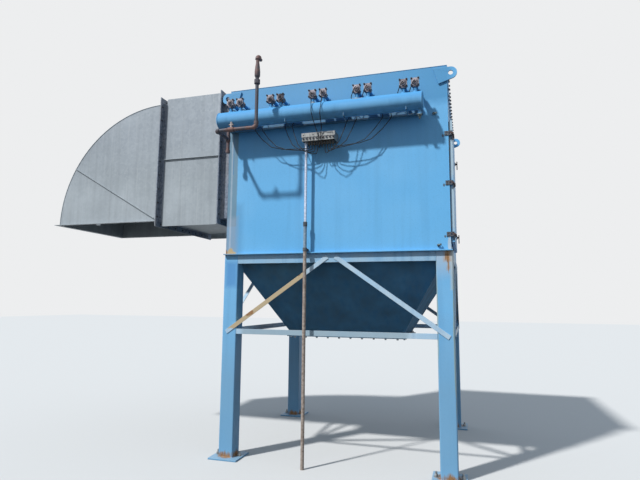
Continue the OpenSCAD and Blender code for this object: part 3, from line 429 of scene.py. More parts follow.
def swept(shape, points, radii, sides, closed=False):
    """Adds a round bar along the points, with one radius for each point."""
    points = [Vector(p) for p in points]
    count = len(points)
    rings = []
    across = None
    for i, point in enumerate(points):
        before = points[i - 1] if i or closed else point
        after = points[(i + 1) % count] if i < count - 1 or closed else point
        along = (after - before).normalized()
        if across is None:
            across = along.orthogonal()
        across = (across - along * across.dot(along)).normalized()
        up = along.cross(across)
        rings.append([shape.verts.new(point + radii[i] * (
            math.cos(2 * math.pi * k / sides) * across + math.sin(2 * math.pi * k / sides) * up))
            for k in range(sides)])
    pairs = list(zip(rings, rings[1:]))
    if closed:
        pairs.append((rings[-1], rings[0]))
    for low, high in pairs:
        for k in range(sides):
            m = (k + 1) % sides
            shape.faces.new((low[k], low[m], high[m], high[k]))
    if not closed:
        shape.faces.new(rings[0][::-1])
        shape.faces.new(rings[-1])


WELD_RIPPLE = 0.008


def weld_bead(shape, corners, size, closed=False):
    """Adds a weld bead along straight runs between the corners, thicker at each ripple."""
    corners = [Vector(c) for c in corners]
    ends = corners + corners[:1] if closed else corners
    points = []
    for a, b in zip(ends, ends[1:]):
        steps = max(1, round((b - a).length / WELD_RIPPLE))
        points += [a.lerp(b, i / steps) for i in range(steps)]
    if not closed:
        points.append(ends[-1])
    radii = [size * (1 + 0.14 * (-1) ** i + random.uniform(-0.08, 0.08))
             for i in range(len(points))]
    swept(shape, points, radii, 6, closed)


def hex_bolt(shape, seat, way, across, stud=0.0):
    """Adds a washer and a hexagon head or nut, across the flats, with a stud past it."""
    way = Vector(way).normalized()
    corner = across / math.sqrt(3)
    washer_r = across * 0.76
    washer_t = across * 0.12
    head_h = across * 0.65
    stud_r = across * 0.31
    turned(shape, seat, way, [(0, washer_r), (washer_t * 0.8, washer_r),
                              (washer_t, across * 0.7)], 20)
    turned(shape, Vector(seat) + way * washer_t, way,
           [(0, corner), (head_h * 0.82, corner), (head_h, corner * 0.88)], 6,
           random.uniform(0, 1.0))
    if stud:
        top = washer_t + head_h
        turned(shape, Vector(seat) + way * top, way,
               [(0, stud_r), (stud - 0.001, stud_r), (stud, across * 0.26)], 12)


def make_piece(name, shape, material, body="frame", smooth_deg=38):
    """Makes the drawn shape a piece with a material, smooth but for its sharp edges."""
    mesh = bpy.data.meshes.new(name)
    shape.to_mesh(mesh)
    shape.free()
    mesh.materials.append(material)
    mesh.shade_smooth()
    mesh.set_sharp_from_angle(angle=math.radians(smooth_deg))
    piece = bpy.data.objects.new(name, mesh)
    bpy.context.scene.collection.objects.link(piece)
    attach(piece, body)


ANCHOR_IN = 0.115
ANCHOR_NUT = 0.030
ANCHOR_STUD = 0.022
FOOT_WELD = 0.006
# the weld's corners round a foot, in halves of the tube's width
FOOT_RING = ((-1, -0.92), (-0.92, -1), (0.92, -1), (1, -0.92),
             (1, 0.92), (0.92, 1), (-0.92, 1), (-1, 0.92))
plate_top_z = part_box("base_plates")[1].z
studs = bmesh.new()
welds = bmesh.new()
for side, end in FOUR_CORNERS:
    middle = Vector((side * leg_middle_x, end * leg_middle_y, plate_top_z))
    for way in (-1, 1):
        seat = middle + Vector((way * ANCHOR_IN, 0, 0))
        hex_bolt(studs, seat, (0, 0, 1), ANCHOR_NUT, ANCHOR_STUD)
    foot = [middle + leg_w / 2 * Vector((x, y, 0)) for x, y in FOOT_RING]
    weld_bead(welds, foot, FOOT_WELD, closed=True)
make_piece("anchor_studs", studs, galvanised_steel)
make_piece("foot_welds", welds, leg_enamel, smooth_deg=80)

# Rails and bracing: channel rails between the legs carry the housing, and angle ties and
# diagonals brace each side. They are welded and sprayed with the legs. The sun has chalked
# them to a pale grey blue, and on the front left diagonal only a tan primer is left.
rail_low, rail_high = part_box("top_rails")
tie_low_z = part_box("front_bracing")[0].z
TIE_H = 0.051
CHALK = "#C3D0D5"
RAIL_FILM = "#A3BAC7"
TIE_GRIME = "#8FA4AE"
# the tan front left diagonal, and grime on the left of the front tie
brace_boxes = [
    ((-1.14, leg_face_y - 0.03, tie_low_z + 0.06), (-0.262, leg_face_y + 0.08, 1.84),
     PRIMER_TAN, 0.95, 12, 8),
    ((-0.90, leg_face_y - 0.03, tie_low_z - 0.02), (0.70, leg_face_y + 0.03, tie_low_z + 0.06),
     TIE_GRIME, 0.75, 60, 40)]
brace_rust = [((-0.86, leg_face_y, 1.42), (0.10, 0.04, 0.05)),
              ((-0.52, leg_face_y, 1.70), (0.09, 0.04, 0.03)),
              ((-0.36, leg_face_y, 1.80), (0.08, 0.04, 0.03))]
brace_enamel = sky_blue_enamel("chalked_enamel_on_bracing", film=(CHALK, 0.95), rust=brace_rust,
                               boxes=brace_boxes)
rail_rust = [((side * leg_edge_x, leg_face_y, rail_high.z), (0.10, 0.04, 0.02))
             for side in (-1, 1)]
rail_enamel = sky_blue_enamel("chalked_enamel_on_rails", film=(RAIL_FILM, 0.85), grime=0.5,
                              rust=rail_rust)
for bracing in ("front_bracing", "back_bracing", "side_bracing"):
    dress(bracing, brace_enamel, 1.2)
dress("top_rails", rail_enamel, 1.5)

BRACE_WELD = 0.0035
WELD_INSET = 0.002
inner_x = leg_edge_x - leg_w
inner_y = abs(leg_face_y) - leg_w
welds = bmesh.new()
for side, end in FOUR_CORNERS:
    front_back = (side * inner_x, end * (abs(leg_face_y) - WELD_INSET))
    left_right = (side * (leg_edge_x - WELD_INSET), end * inner_y)
    for x, y in (front_back, left_right):
        weld_bead(welds, [(x, y, tie_low_z), (x, y, tie_low_z + TIE_H)], BRACE_WELD)
        weld_bead(welds, [(x, y, rail_low.z), (x, y, rail_high.z)], BRACE_WELD)
make_piece("frame_welds", welds, rail_enamel, smooth_deg=80)

# Hopper: four mitred plates welded at the corners, a flange and a bolted cover. It holds a
# film of grey dust, which dulls its enamel, and it is darkened with painted shade, most of
# all on its left and right plates.
# the front's film is dust and painted shade, and the sides' darker film is painted shade
HOPPER_DUST_AND_SHADE = "#506B7B"
HOPPER_SIDE_SHADE = "#3A5060"
DUSTY_ROUGHNESS = (0.7, 0.92)
DUSTY_SPECULAR = 0.25
hopper_enamel = sky_blue_enamel("dusty_and_shaded_enamel_on_hopper", film=(HOPPER_DUST_AND_SHADE, 0.9), grime=0.7,
                                roughness=DUSTY_ROUGHNESS, specular=DUSTY_SPECULAR)
side_enamel = sky_blue_enamel("shaded_enamel_on_hopper_sides", film=(HOPPER_SIDE_SHADE, 0.95),
                              grime=0.7, roughness=DUSTY_ROUGHNESS, specular=DUSTY_SPECULAR)
for plate in ("hopper_front", "hopper_back"):
    dress(plate, hopper_enamel, 0)
dress("hopper_sides", side_enamel, 0)
for plate in ("hopper_flange", "hopper_cover"):
    dress(plate, hopper_enamel, 1.0)


def ring_places(half_x, half_y, pitch):
    """Places spaced evenly round a rectangle about the origin."""
    places = []
    for length, other, turned_round in ((half_x, half_y, False), (half_y, half_x, True)):
        count = round(2 * length / pitch)
        for i in range(count):
            at = -length + 2 * length * (i + 0.5) / count
            for side in (-1, 1):
                places.append((side * other, at) if turned_round else (at, side * other))
    return places


HOPPER_BOLT = 0.019
HOPPER_BOLT_TIP = 0.008
HOPPER_BOLT_PITCH = 0.125
HOPPER_BOLT_IN = 0.022
HOPPER_FLANGE_W = 0.050
HOPPER_WELD = 0.005
# the rails hide the first part of each corner weld
HOPPER_WELD_FROM = 0.12
hopper_top_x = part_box("hopper_sides")[1].x
hopper_top_y = abs(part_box("hopper_front")[0].y)
hopper_top_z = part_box("hopper_front")[1].z
flange_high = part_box("hopper_flange")[1]
cover_low_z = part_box("hopper_cover")[0].z
bolts = bmesh.new()
for x, y in ring_places(flange_high.x - HOPPER_BOLT_IN, flange_high.y - HOPPER_BOLT_IN,
                        HOPPER_BOLT_PITCH):
    hex_bolt(bolts, (x, y, flange_high.z), (0, 0, 1), HOPPER_BOLT, HOPPER_BOLT_TIP)
    hex_bolt(bolts, (x, y, cover_low_z), (0, 0, -1), HOPPER_BOLT)
make_piece("hopper_bolts", bolts, galvanised_steel)
welds = bmesh.new()
for side, end in FOUR_CORNERS:
    top = Vector((side * hopper_top_x, end * hopper_top_y, hopper_top_z))
    foot = Vector((side * (flange_high.x - HOPPER_FLANGE_W),
                   end * (flange_high.y - HOPPER_FLANGE_W), flange_high.z))
    weld_bead(welds, [top.lerp(foot, HOPPER_WELD_FROM), foot], HOPPER_WELD)
make_piece("hopper_corner_welds", welds, hopper_enamel, smooth_deg=80)

# Housing: flat steel plates welded at the corners and to a base flange, under a flat roof.
# A strip at the left edge of the front has weathered to grey blue, tan primer shows at its
# lower left corner, and the hinges have left dark smudges. Painted shade darkens the front
# along its top, beside the strip and on the strip's upper part.
wall_low, wall_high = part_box("front_wall")
housing_edge_x = wall_high.x
housing_foot_z = wall_low.z
housing_face_y = wall_low.y
housing_back_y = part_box("back_wall")[1].y
housing_top_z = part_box("roof_panel")[1].z
hinge_low, hinge_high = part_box("hinge_brackets")
HINGE_HALF = 0.021
MIDDLE_HINGE = 0.504
hinge_z = [hinge_low.z + HINGE_HALF + share * (hinge_high.z - hinge_low.z - 2 * HINGE_HALF)
           for share in (0, MIDDLE_HINGE, 1)]


def on_front(left, right, low, high):
    """The two corners of a thin box that covers a rectangle of the housing's front."""
    return (left, housing_face_y - 0.04, low), (right, housing_face_y + 0.01, high)


STRIP_W = 0.098
# the deeper blue along the top is painted shade, and the strip's upper grey is partly painted shade
WALL_TOP_SHADE = "#408CBB"
STRIP_GREY_AND_SHADE = "#64818F"
STRIP_PALE = "#8499AC"
STRIP_LINE = "#C3CDD6"
strip_left = -housing_edge_x
strip_right = strip_left + STRIP_W
# painted shade in a deeper blue along the top, painted shadow beside the strip, the strip's
# upper part, grey and darkened with painted shade, and its lower part, a pale line down it and
# a thin dark run beside it
wall_boxes = [
    (*on_front(-housing_edge_x, housing_edge_x, 3.46, housing_top_z), WALL_TOP_SHADE, 0.9, 90, 30),
    (*on_front(strip_right, strip_right + 0.05, 2.0, 2.50), ENAMEL_DIRTY, 0.35, 60, 10),
    (*on_front(strip_left - 0.1, strip_right, 2.30, 3.36), STRIP_GREY_AND_SHADE, 0.85, 10, 5),
    (*on_front(strip_left - 0.1, strip_right - 0.012, 2.0, 2.36), STRIP_PALE, 0.8, 60, 9),
    (*on_front(strip_left + 0.032, strip_left + 0.045, 2.05, 3.2), STRIP_LINE, 0.35, 6, 6),
    (*on_front(-1.076, -1.068, 2.85, 3.31), ENAMEL_DIRTY, 0.8, 3, 3)]
wall_primer = [((-1.080, housing_face_y, 2.020), (0.048, 0.04, 0.085)),
               ((-1.045, housing_face_y, 2.008), (0.062, 0.04, 0.040))]
wall_pale = [((1.112, housing_face_y, 2.060), (0.026, 0.04, 0.110))]
wall_smudges = [((housing_edge_x - 0.050, housing_face_y, z - 0.020), (0.014, 0.03, 0.022))
                for z in hinge_z]
wall_rust = [((-1.122, housing_face_y, 2.02), (0.022, 0.03, 0.05)),
             ((1.125, housing_face_y, 2.004), (0.022, 0.03, 0.016))]
WALL_PALE = "#A9BECD"
wall_stains = [(wall_smudges, ENAMEL_SMUDGED), (wall_primer, PRIMER_TAN), (wall_pale, WALL_PALE)]
wall_enamel = sky_blue_enamel("sky_blue_enamel_on_housing", boxes=wall_boxes, rust=wall_rust,
                              stains=wall_stains, grime=0.16)
for wall in ("front_wall", "back_wall", "left_wall", "right_wall_beside_door",
             "right_wall_over_under_door", "roof_panel", "base_flange"):
    dress(wall, wall_enamel, 0.8)

SEAM_WELD = 0.003
SEAM_INSET = 0.001
welds = bmesh.new()
for x in (-housing_edge_x + SEAM_INSET, housing_edge_x - SEAM_INSET):
    for y in (housing_face_y + SEAM_INSET, housing_back_y - SEAM_INSET):
        weld_bead(welds, [(x, y, housing_foot_z), (x, y, housing_top_z)], SEAM_WELD)
for z in (housing_foot_z, housing_top_z - SEAM_INSET):
    seam = [(x * housing_edge_x, y * housing_back_y, z)
            for x, y in ((-1, -1), (1, -1), (1, 1), (-1, 1))]
    weld_bead(welds, seam, SEAM_WELD, closed=True)
make_piece("housing_seam_welds", welds, wall_enamel, smooth_deg=80)

# Gauge taps: two brass elbows screwed into half couplings on the right edge of the front,
# one high and one low. The brass has tarnished, and looks a dull grey green.
brass, tree, place, shader = new_material("tarnished_brass")
tarnish = add_node(tree, "TexNoise", {"Vector": place, "Scale": 1000 / 7.69, "Detail": 5}).outputs[0]
colour = laid_over(tree, "#3A4448", "#707C7C", tarnish, 0.3, 0.7)
finish(tree, shader, colour, (tarnish, 0.4, 0.7), [(tarnish, 0.5, 0.2)], metallic=0.6)


def hexagon(shape, foot, way, across, length):
    """Adds a plain hexagon bar, across the flats, along a direction."""
    turned(shape, foot, way, [(0, across * 0.577), (length, across * 0.577)], 6)


# where each tap is across and up the front, and which way its tip leans
TAPS = ((1.014, 2.051, 1), (0.995, 3.303, -1))
TAP_HEX = 0.017
TAP_R = 0.006
TAP_OUT = 0.024
COUPLING_L = 0.010
HALF_COUPLING = [(0, 0.013), (COUPLING_L, 0.013), (0.012, 0.011)]
taps = bmesh.new()
for x, z, bend in TAPS:
    coupling_end = (x, housing_face_y - COUPLING_L, z)
    turned(taps, (x, housing_face_y, z), (0, -1, 0), HALF_COUPLING)
    hexagon(taps, coupling_end, (0, -1, 0), TAP_HEX, 0.008)
    corner = Vector((x, housing_face_y - TAP_OUT, z))
    tip = corner + Vector((0.018, 0, bend * 0.004))
    swept(taps, [coupling_end, corner, corner + Vector((0.004, 0, 0)), tip],
          [TAP_R, TAP_R * 1.2, TAP_R * 1.2, TAP_R], 12)
    hexagon(taps, tip, (1, 0, bend * 0.2), TAP_HEX, 0.010)
make_piece("gauge_taps", taps, brass)

# Plenum cover: a flat plate bolted over the clean-air side, on the right. Its hexagon bolts
# sit every 95 mm. They were zinc plated, and have gone dark, with patches of rust.
dress("plenum_cover", wall_enamel, 1.0)
dark_bolts, tree, place, shader = new_material("weathered_zinc_plated_steel")
blotches = add_node(tree, "TexNoise", {"Vector": place, "Scale": 1000 / 11.1, "Detail": 4}).outputs[0]
oxide = add_node(tree, "TexNoise", {"Vector": place, "Scale": 1000 / 28.6, "Detail": 6}).outputs[0]
colour = laid_over(tree, "#2E333B", "#646970", blotches, 0.3, 0.7)
colour = laid_over(tree, colour, "#573F35", oxide, 0.56, 0.68, 0.5)
finish(tree, shader, colour, (oxide, 0.42, 0.75), [(blotches, 1, 0.3)], metallic=0.6)

COVER_BOLT = 0.017
COVER_BOLT_PITCH = 0.095
COVER_BOLT_IN = 0.022
plenum_low, plenum_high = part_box("plenum_cover")
span = plenum_high - plenum_low
middle = (plenum_high + plenum_low) / 2
bolts = bmesh.new()
for at, up in ring_places(span.y / 2 - COVER_BOLT_IN, span.z / 2 - COVER_BOLT_IN,
                          COVER_BOLT_PITCH):
    hex_bolt(bolts, (plenum_high.x, middle.y + at, middle.z + up), (1, 0, 0), COVER_BOLT)
make_piece("plenum_cover_bolts", bolts, dark_bolts)

# Lifting lugs: flame cut steel plates, welded flat on the front and back walls at the top
# corners and painted over.
dress("lifting_lugs", wall_enamel, 1.5)
LUG_WELD = 0.005
LUG_TAIL_TIP = 0.080
LUG_TAIL_END = 0.004
LUG_TAIL_RISE = 0.026
lug_foot_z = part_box("lifting_lugs")[0].z
welds = bmesh.new()
for side in (-1, 1):
    for y in (housing_face_y, housing_back_y):
        tip = (side * (housing_edge_x - LUG_TAIL_TIP), y, lug_foot_z)
        end = (side * (housing_edge_x - LUG_TAIL_END), y, lug_foot_z + LUG_TAIL_RISE)
        weld_bead(welds, [tip, end], LUG_WELD)
make_piece("lug_welds", welds, wall_enamel, smooth_deg=80)

# Access door: a folded steel pan on three leaf hinges, pulled on to a rubber gasket by two
# cam latches. Its straps and latches are bare mild steel, rusted to a dark brown. The hinge
# halves on the wall were zinc plated and have gone dark.

# rust's grain is about 1 mm, and is drawn 8 mm coarse, so that it shows
rusty_steel, tree, place, shader = new_material("rusted_mild_steel")
grain = add_node(tree, "TexNoise", {"Vector": place, "Scale": 1000 / 8.33, "Detail": 8,
                                    "Roughness": 0.7}).outputs[0]
clouds = add_node(tree, "TexNoise", {"Vector": place, "Scale": 1000 / 71.4, "Detail": 3}).outputs[0]
colour = laid_over(tree, "#2A2326", "#5F4F4E", grain, 0.25, 0.75)
colour = laid_over(tree, colour, "#5A4038", clouds, 0.48, 0.65, 0.6)
finish(tree, shader, colour, (clouds, 0.6, 0.9), [(grain, 1.5, 0.5)], metallic=0.25)

DOOR_PALE = "#A6BECB"
door_low, door_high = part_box("access_door")
# the pan has faded along its front edge, and is smudged round the hinges
door_faded = [((housing_edge_x + 0.02, door_low.y, 2.95), (0.05, 0.016, 0.50)),
              ((housing_edge_x + 0.02, door_low.y, 2.40), (0.05, 0.012, 0.40))]
door_smudges = [((housing_edge_x + 0.035, door_low.y + 0.05, z - 0.02), (0.05, 0.11, 0.09))
                for z in hinge_z]
door_enamel = sky_blue_enamel("sky_blue_enamel_on_door", grime=0.3, stains=[
    (door_faded, DOOR_PALE), (door_smudges, ENAMEL_SMUDGED)])
dress("access_door", door_enamel, 0.6)
dress("door_hardware", rusty_steel, 0.6)
dress("hinge_brackets", dark_bolts, 0.6)

# moulded rubber gives a soft matt black, with grey dust in patches
rubber, tree, place, shader = new_material("epdm_rubber")
skin = add_node(tree, "TexNoise", {"Vector": place, "Scale": 1000 / 3.33, "Detail": 3}).outputs[0]
dusty = add_node(tree, "TexNoise", {"Vector": place, "Scale": 1000 / 55.6, "Detail": 5}).outputs[0]
colour = laid_over(tree, "#141414", "#2C2C2B", skin, 0.3, 0.7)
colour = laid_over(tree, colour, "#5C5C58", dusty, 0.5, 0.7, 0.5)
finish(tree, shader, colour, (dusty, 0.7, 0.95), [(skin, 0.5, 0.2)])

GASKET_R = 0.0032
GASKET_IN = 0.012
gasket_x = door_low.x - GASKET_R
low_y, high_y = door_low.y + GASKET_IN, door_high.y - GASKET_IN
low_z, high_z = door_low.z + GASKET_IN, door_high.z - GASKET_IN
gasket = bmesh.new()
swept(gasket, [(gasket_x, low_y, low_z), (gasket_x, high_y, low_z), (gasket_x, high_y, high_z),
               (gasket_x, low_y, high_z)], [GASKET_R] * 4, 8, closed=True)
make_piece("door_gasket", gasket, rubber, "door")

STRAP_BOLT = 0.014
STRAP_T = 0.006
STRAP_STEPS = (0.055, 0.105, 0.150)
LEAF_T = 0.006
LEAF_IN = 0.022
LEAF_SCREW_UP = 0.011
LEAF_SCREW = [(0, 0.007), (0.002, 0.0065), (0.0035, 0.004)]
bolts = bmesh.new()
for z in hinge_z:
    for step in STRAP_STEPS:
        hex_bolt(bolts, (door_high.x + STRAP_T, housing_face_y + step, z), (1, 0, 0), STRAP_BOLT)
make_piece("hinge_strap_bolts", bolts, dark_bolts, "door")
screws = bmesh.new()
for z in hinge_z:
    for up in (-LEAF_SCREW_UP, LEAF_SCREW_UP):
        seat = (housing_edge_x - LEAF_IN, housing_face_y - LEAF_T, z + up)
        turned(screws, seat, (0, -1, 0), LEAF_SCREW, 12)
make_piece("hinge_leaf_screws", screws, dark_bolts)

# Header: a 6 inch steel pipe with a cap welded on each end, sprayed with the housing. It
# lies in four saddle plates over a shelf angle, and a drain cock hangs from its right end.
# The header's top is darkened with painted shade, and the shelf with dust and painted shade.
header_low, header_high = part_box("header_shell")
cap_low, cap_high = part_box("header_end_caps")
header_r = (cap_high.z - cap_low.z) / 2
header_y = (cap_high.y + cap_low.y) / 2
header_z = (cap_high.z + cap_low.z) / 2
SHELF_OUT = 0.050
SHELF_OVER_FOOT = 0.014
# places along the shelf where its front edge is painted pale
PALE_AT = (-0.615, -0.168, 0.262, 0.700)
HEADER_FILM = "#86BDE6"
HEADER_TOP_SHADE = "#4A93C7"
SHELF_DUST_AND_SHADE = "#5A6E7A"
SHELF_PALE = "#E4E4DE"
shelf_front_y = housing_face_y - SHELF_OUT
shelf_top_z = header_z - header_r + SHELF_OVER_FOOT
scuffs = [((0.30, header_y - 0.5 * header_r, header_z + 0.9 * header_r), (0.09, 0.05, 0.03)),
          ((-0.15, header_y - 0.3 * header_r, header_z + header_r), (0.10, 0.05, 0.03))]
# painted shade: the header's top is made darker than its sides
painted_header_top = ((header_low.x - 0.2, header_y - 0.2, header_z + 0.030),
            (header_high.x + 0.2, header_y + 0.2, header_z + 0.2), HEADER_TOP_SHADE, 0.95, 55, 8)
pale_edges = [((x - 0.11, shelf_front_y - 0.01, shelf_top_z - 0.005),
               (x + 0.11, shelf_front_y + 0.01, shelf_top_z + 0.004), SHELF_PALE, 1.0, 6, 4)
              for x in PALE_AT]
header_enamel = sky_blue_enamel("sky_blue_enamel_on_header", film=(HEADER_FILM, 0.6), grime=0.35,
                                boxes=[painted_header_top], stains=[(scuffs, ENAMEL_SCUFFED)],
                                roughness=(0.55, 0.75), specular=0.25)
# the shelf's dark film is dust and painted shade
shelf_enamel = sky_blue_enamel("dusty_and_shaded_enamel_on_shelf", film=(SHELF_DUST_AND_SHADE, 0.95), grime=0.5,
                               boxes=pale_edges, roughness=(0.7, 0.9), specular=0.25)
for part in ("header_shell", "header_end_caps"):
    dress(part, header_enamel, 0)
dress("header_shelf", shelf_enamel, 0)

RING_WELD = 0.004
SADDLE_WELD = 0.003
SADDLES = 4
SADDLE_T = 0.008
SADDLE_IN = 0.150
welds = bmesh.new()
for x in (header_low.x, header_high.x):
    ring = [(x, header_y + header_r * math.cos(a), header_z + header_r * math.sin(a))
            for a in [math.pi * k / 24 for k in range(48)]]
    weld_bead(welds, ring, RING_WELD, closed=True)
# each saddle is welded along both its edges, from the header's back to past its foot
saddle_pitch = (cap_high.x - cap_low.x - 2 * SADDLE_IN - SADDLE_T) / (SADDLES - 1)
for i in range(SADDLES):
    for x in (0, SADDLE_T):
        at = cap_low.x + SADDLE_IN + i * saddle_pitch + x
        cradle = [(at, header_y + header_r * math.cos(math.radians(a)),
                   header_z + header_r * math.sin(math.radians(a))) for a in range(0, -112, -6)]
        weld_bead(welds, cradle, SADDLE_WELD)
make_piece("header_welds", welds, header_enamel, smooth_deg=80)

DRAIN_IN = 0.036
DRAIN_HEX = 0.030
DRAIN_BODY_L = 0.022
DRAIN_STEM = [(0, 0.007), (0.030, 0.007)]
DRAIN_SPOUT = [(0, 0.009), (0.014, 0.009), (0.016, 0.008), (0.024, 0.008)]
DRAIN_LEVER = ((-0.022, -0.028, 0), (0, -0.031, 0), (0.022, -0.028, 0))
drain = bmesh.new()
drain_top = Vector((cap_high.x - DRAIN_IN, header_y, header_low.z))
drain_middle = drain_top - Vector((0, 0, DRAIN_BODY_L / 2))
hexagon(drain, drain_top, (0, 0, -1), DRAIN_HEX, DRAIN_BODY_L)
turned(drain, drain_top - Vector((0, 0, DRAIN_BODY_L)), (0, 0, -1), DRAIN_SPOUT, 16)
turned(drain, drain_middle, (0, -1, 0), DRAIN_STEM, 12)
swept(drain, [drain_middle + Vector(p) for p in DRAIN_LEVER], [0.004, 0.005, 0.004], 8)
make_piece("drain_cock", drain, brass)

# Pulse valves: right-angle diaphragm valves, sand cast in aluminium and left bare. Four dark
# hexagon bolts hold each bonnet, and a rusted steel nut the tube's boss in its middle. The
# outlet pipe goes through the front wall, and is painted like the header.

# sand casting leaves a dull pale grain under 1 mm, drawn 3 mm coarse, with soot in patches
cast_aluminium, tree, place, shader = new_material("sand_cast_aluminium")
grain = add_node(tree, "TexNoise", {"Vector": place, "Scale": 1000 / 2.86, "Detail": 4}).outputs[0]
patches = add_node(tree, "TexNoise", {"Vector": place, "Scale": 1000 / 25, "Detail": 4}).outputs[0]
soot = add_node(tree, "TexNoise", {"Vector": place, "Scale": 1000 / 62.5, "Detail": 5}).outputs[0]
colour = laid_over(tree, "#6A666E", "#AFA8AE", patches, 0.3, 0.7)
colour = laid_over(tree, colour, "#4B464D", soot, 0.46, 0.64, 0.75)
finish(tree, shader, colour, (patches, 0.5, 0.7), [(grain, 1, 0.45)], metallic=0.4)
dress("pulse_valves", cast_aluminium, 0)
dress("blow_pipes", header_enamel, 0)

BONNET_W = 0.082
PAIRS = 5
VALVE_PITCH = 0.108
BOLT_IN = 0.009
BONNET_OUT = 0.0305
BOSS_NUT_OUT = 0.041
BOSS_NUT = 0.028
BONNET_BOLT = 0.013
BONNET_BOLT_TIP = 0.006
valve_low, valve_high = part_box("pulse_valves")
first_valve = valve_low.x + BONNET_W / 2
last_valve = valve_high.x - BONNET_W / 2
pair_pitch = (last_valve - first_valve - VALVE_PITCH) / (PAIRS - 1)
valve_x = [first_valve + pair * pair_pitch + side * VALVE_PITCH
           for pair in range(PAIRS) for side in (0, 1)]
valve_z = valve_high.z - BONNET_W / 2
off_centre = BONNET_W / 2 - BOLT_IN
bolts = bmesh.new()
nuts = bmesh.new()
for x in valve_x:
    for side, up in FOUR_CORNERS:
        seat = (x + side * off_centre, header_y - BONNET_OUT, valve_z + up * off_centre)
        hex_bolt(bolts, seat, (0, -1, 0), BONNET_BOLT, BONNET_BOLT_TIP)
    turned(nuts, (x, header_y - BOSS_NUT_OUT, valve_z), (0, -1, 0),
           [(0, BOSS_NUT * 0.577), (0.009, BOSS_NUT * 0.577), (0.011, BOSS_NUT * 0.5)], 6,
           random.uniform(0, 1))
make_piece("bonnet_bolts", bolts, dark_bolts)
make_piece("boss_nuts", nuts, rusty_steel)

# Solenoid box: a small steel box with a folded lid, baked grey enamel, screwed to the wall
# below the header. A row of brass fittings comes out of its underside.
box_low, box_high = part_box("solenoid_box")
FITTING_L = 0.034
LID_H = 0.042
LID_SCREWS_AT = (0.06, 0.35, 0.65, 0.94)
LID_SCREW = [(0, 0.005), (0.002, 0.005), (0.0035, 0.003)]
# baked enamel is smooth and half matt, here stained in runs, and the brass below it is dark with
# tarnish and painted shade
grey_enamel, tree, place, shader = new_material("baked_grey_enamel_and_brass")
worn = streaks(tree, place, 17, 80)
peel = add_node(tree, "TexNoise", {"Vector": place, "Scale": 1000 / 2.5, "Detail": 1}).outputs[0]
colour = laid_over(tree, "#6B6E70", "#B4B4AF", worn, 0.25, 0.75)
fittings_below = boxed(tree, place, box_low - Vector((0.1, 0.1, 0.1)),
                       (box_high.x + 0.1, box_high.y + 0.1, box_low.z + FITTING_L), 0.5)
# the fittings' dark tone is tarnish and painted shade
tarnish_and_shade_on_brass = laid_over(tree, "#27272B", "#63594A", worn, 0.3, 0.7)
colour = laid_over(tree, colour, tarnish_and_shade_on_brass, fittings_below)
finish(tree, shader, colour, (worn, 0.4, 0.6), [(peel, 1, 0.1), (worn, 0.3, 0.2)])
dress("solenoid_box", grey_enamel, 0.8)
screws = bmesh.new()
for share in LID_SCREWS_AT:
    x = box_low.x + share * (box_high.x - box_low.x)
    turned(screws, (x, box_low.y, box_high.z - LID_H / 2), (0, -1, 0), LID_SCREW, 12)
make_piece("lid_screws", screws, dark_bolts)

# Exhaust plugs: ten dark sintered plugs in a row on the box's front, just under the lid, one
# for each solenoid. Each has a chamfered rim and is screwed in. Their dark row also stands in
# for painted shade under the lid's edge.
PLUGS = 10
PLUG_R = 0.010
PLUG_OUT = 0.009
plugs = bmesh.new()
for k in range(PLUGS):
    x = box_low.x + (k + 0.5) / PLUGS * (box_high.x - box_low.x)
    turned(plugs, (x, box_low.y + 0.001, box_high.z - LID_H - PLUG_R), (0, -1, 0),
           [(0, PLUG_R), (PLUG_OUT * 0.7, PLUG_R), (PLUG_OUT, PLUG_R * 0.7)], 14)
make_piece("exhaust_plugs_for_lid_shade", plugs, dark_bolts)

# Pilot tubes: black polyethylene air tube, 8 mm, extruded, from each bonnet to its fitting.
# It is a half matt black, greyed a little by dust and fine scratches.
black_tube, tree, place, shader = new_material("black_polyethylene")
dusty = add_node(tree, "TexNoise", {"Vector": place, "Scale": 1000 / 33.3, "Detail": 4}).outputs[0]
scratches = add_node(tree, "TexNoise", {"Vector": place, "Scale": 1000 / 2.5, "Detail": 3}).outputs[0]
colour = laid_over(tree, "#0B0E14", "#20252C", dusty, 0.3, 0.7)
finish(tree, shader, colour, (dusty, 0.5, 0.75), [(scratches, 0.2, 0.15)], specular=0.3)
dress("pilot_tubes", black_tube, 0)

# Conduit: bright galvanised tube above a coupling, duller old tube below it, and rusted pipe
# from the clamp down to the floor. The clamp's two bolts hold it to the base flange.
JOINT_UP = 0.27
COUPLING_HALF = 0.022
CLAMP_UP = 0.022
CLAMP_HALF = 0.016
CLAMP_OUT = 0.020
CLAMP_SIDE = 0.014
CLAMP_BOLT = 0.008
CLAMP_BOLT_UP = 0.006
joint_z = housing_foot_z + JOINT_UP
clamp_z = housing_foot_z + CLAMP_UP
conduit_low, conduit_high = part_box("conduit")


def conduit_zone(tree, place, low, high):
    """From 0 to 1 on a stretch of the conduit between two heights."""
    return boxed(tree, place, (conduit_low.x - 0.1, conduit_low.y - 0.1, low),
                 (conduit_high.x + 0.1, conduit_high.y + 0.1, high), 1)


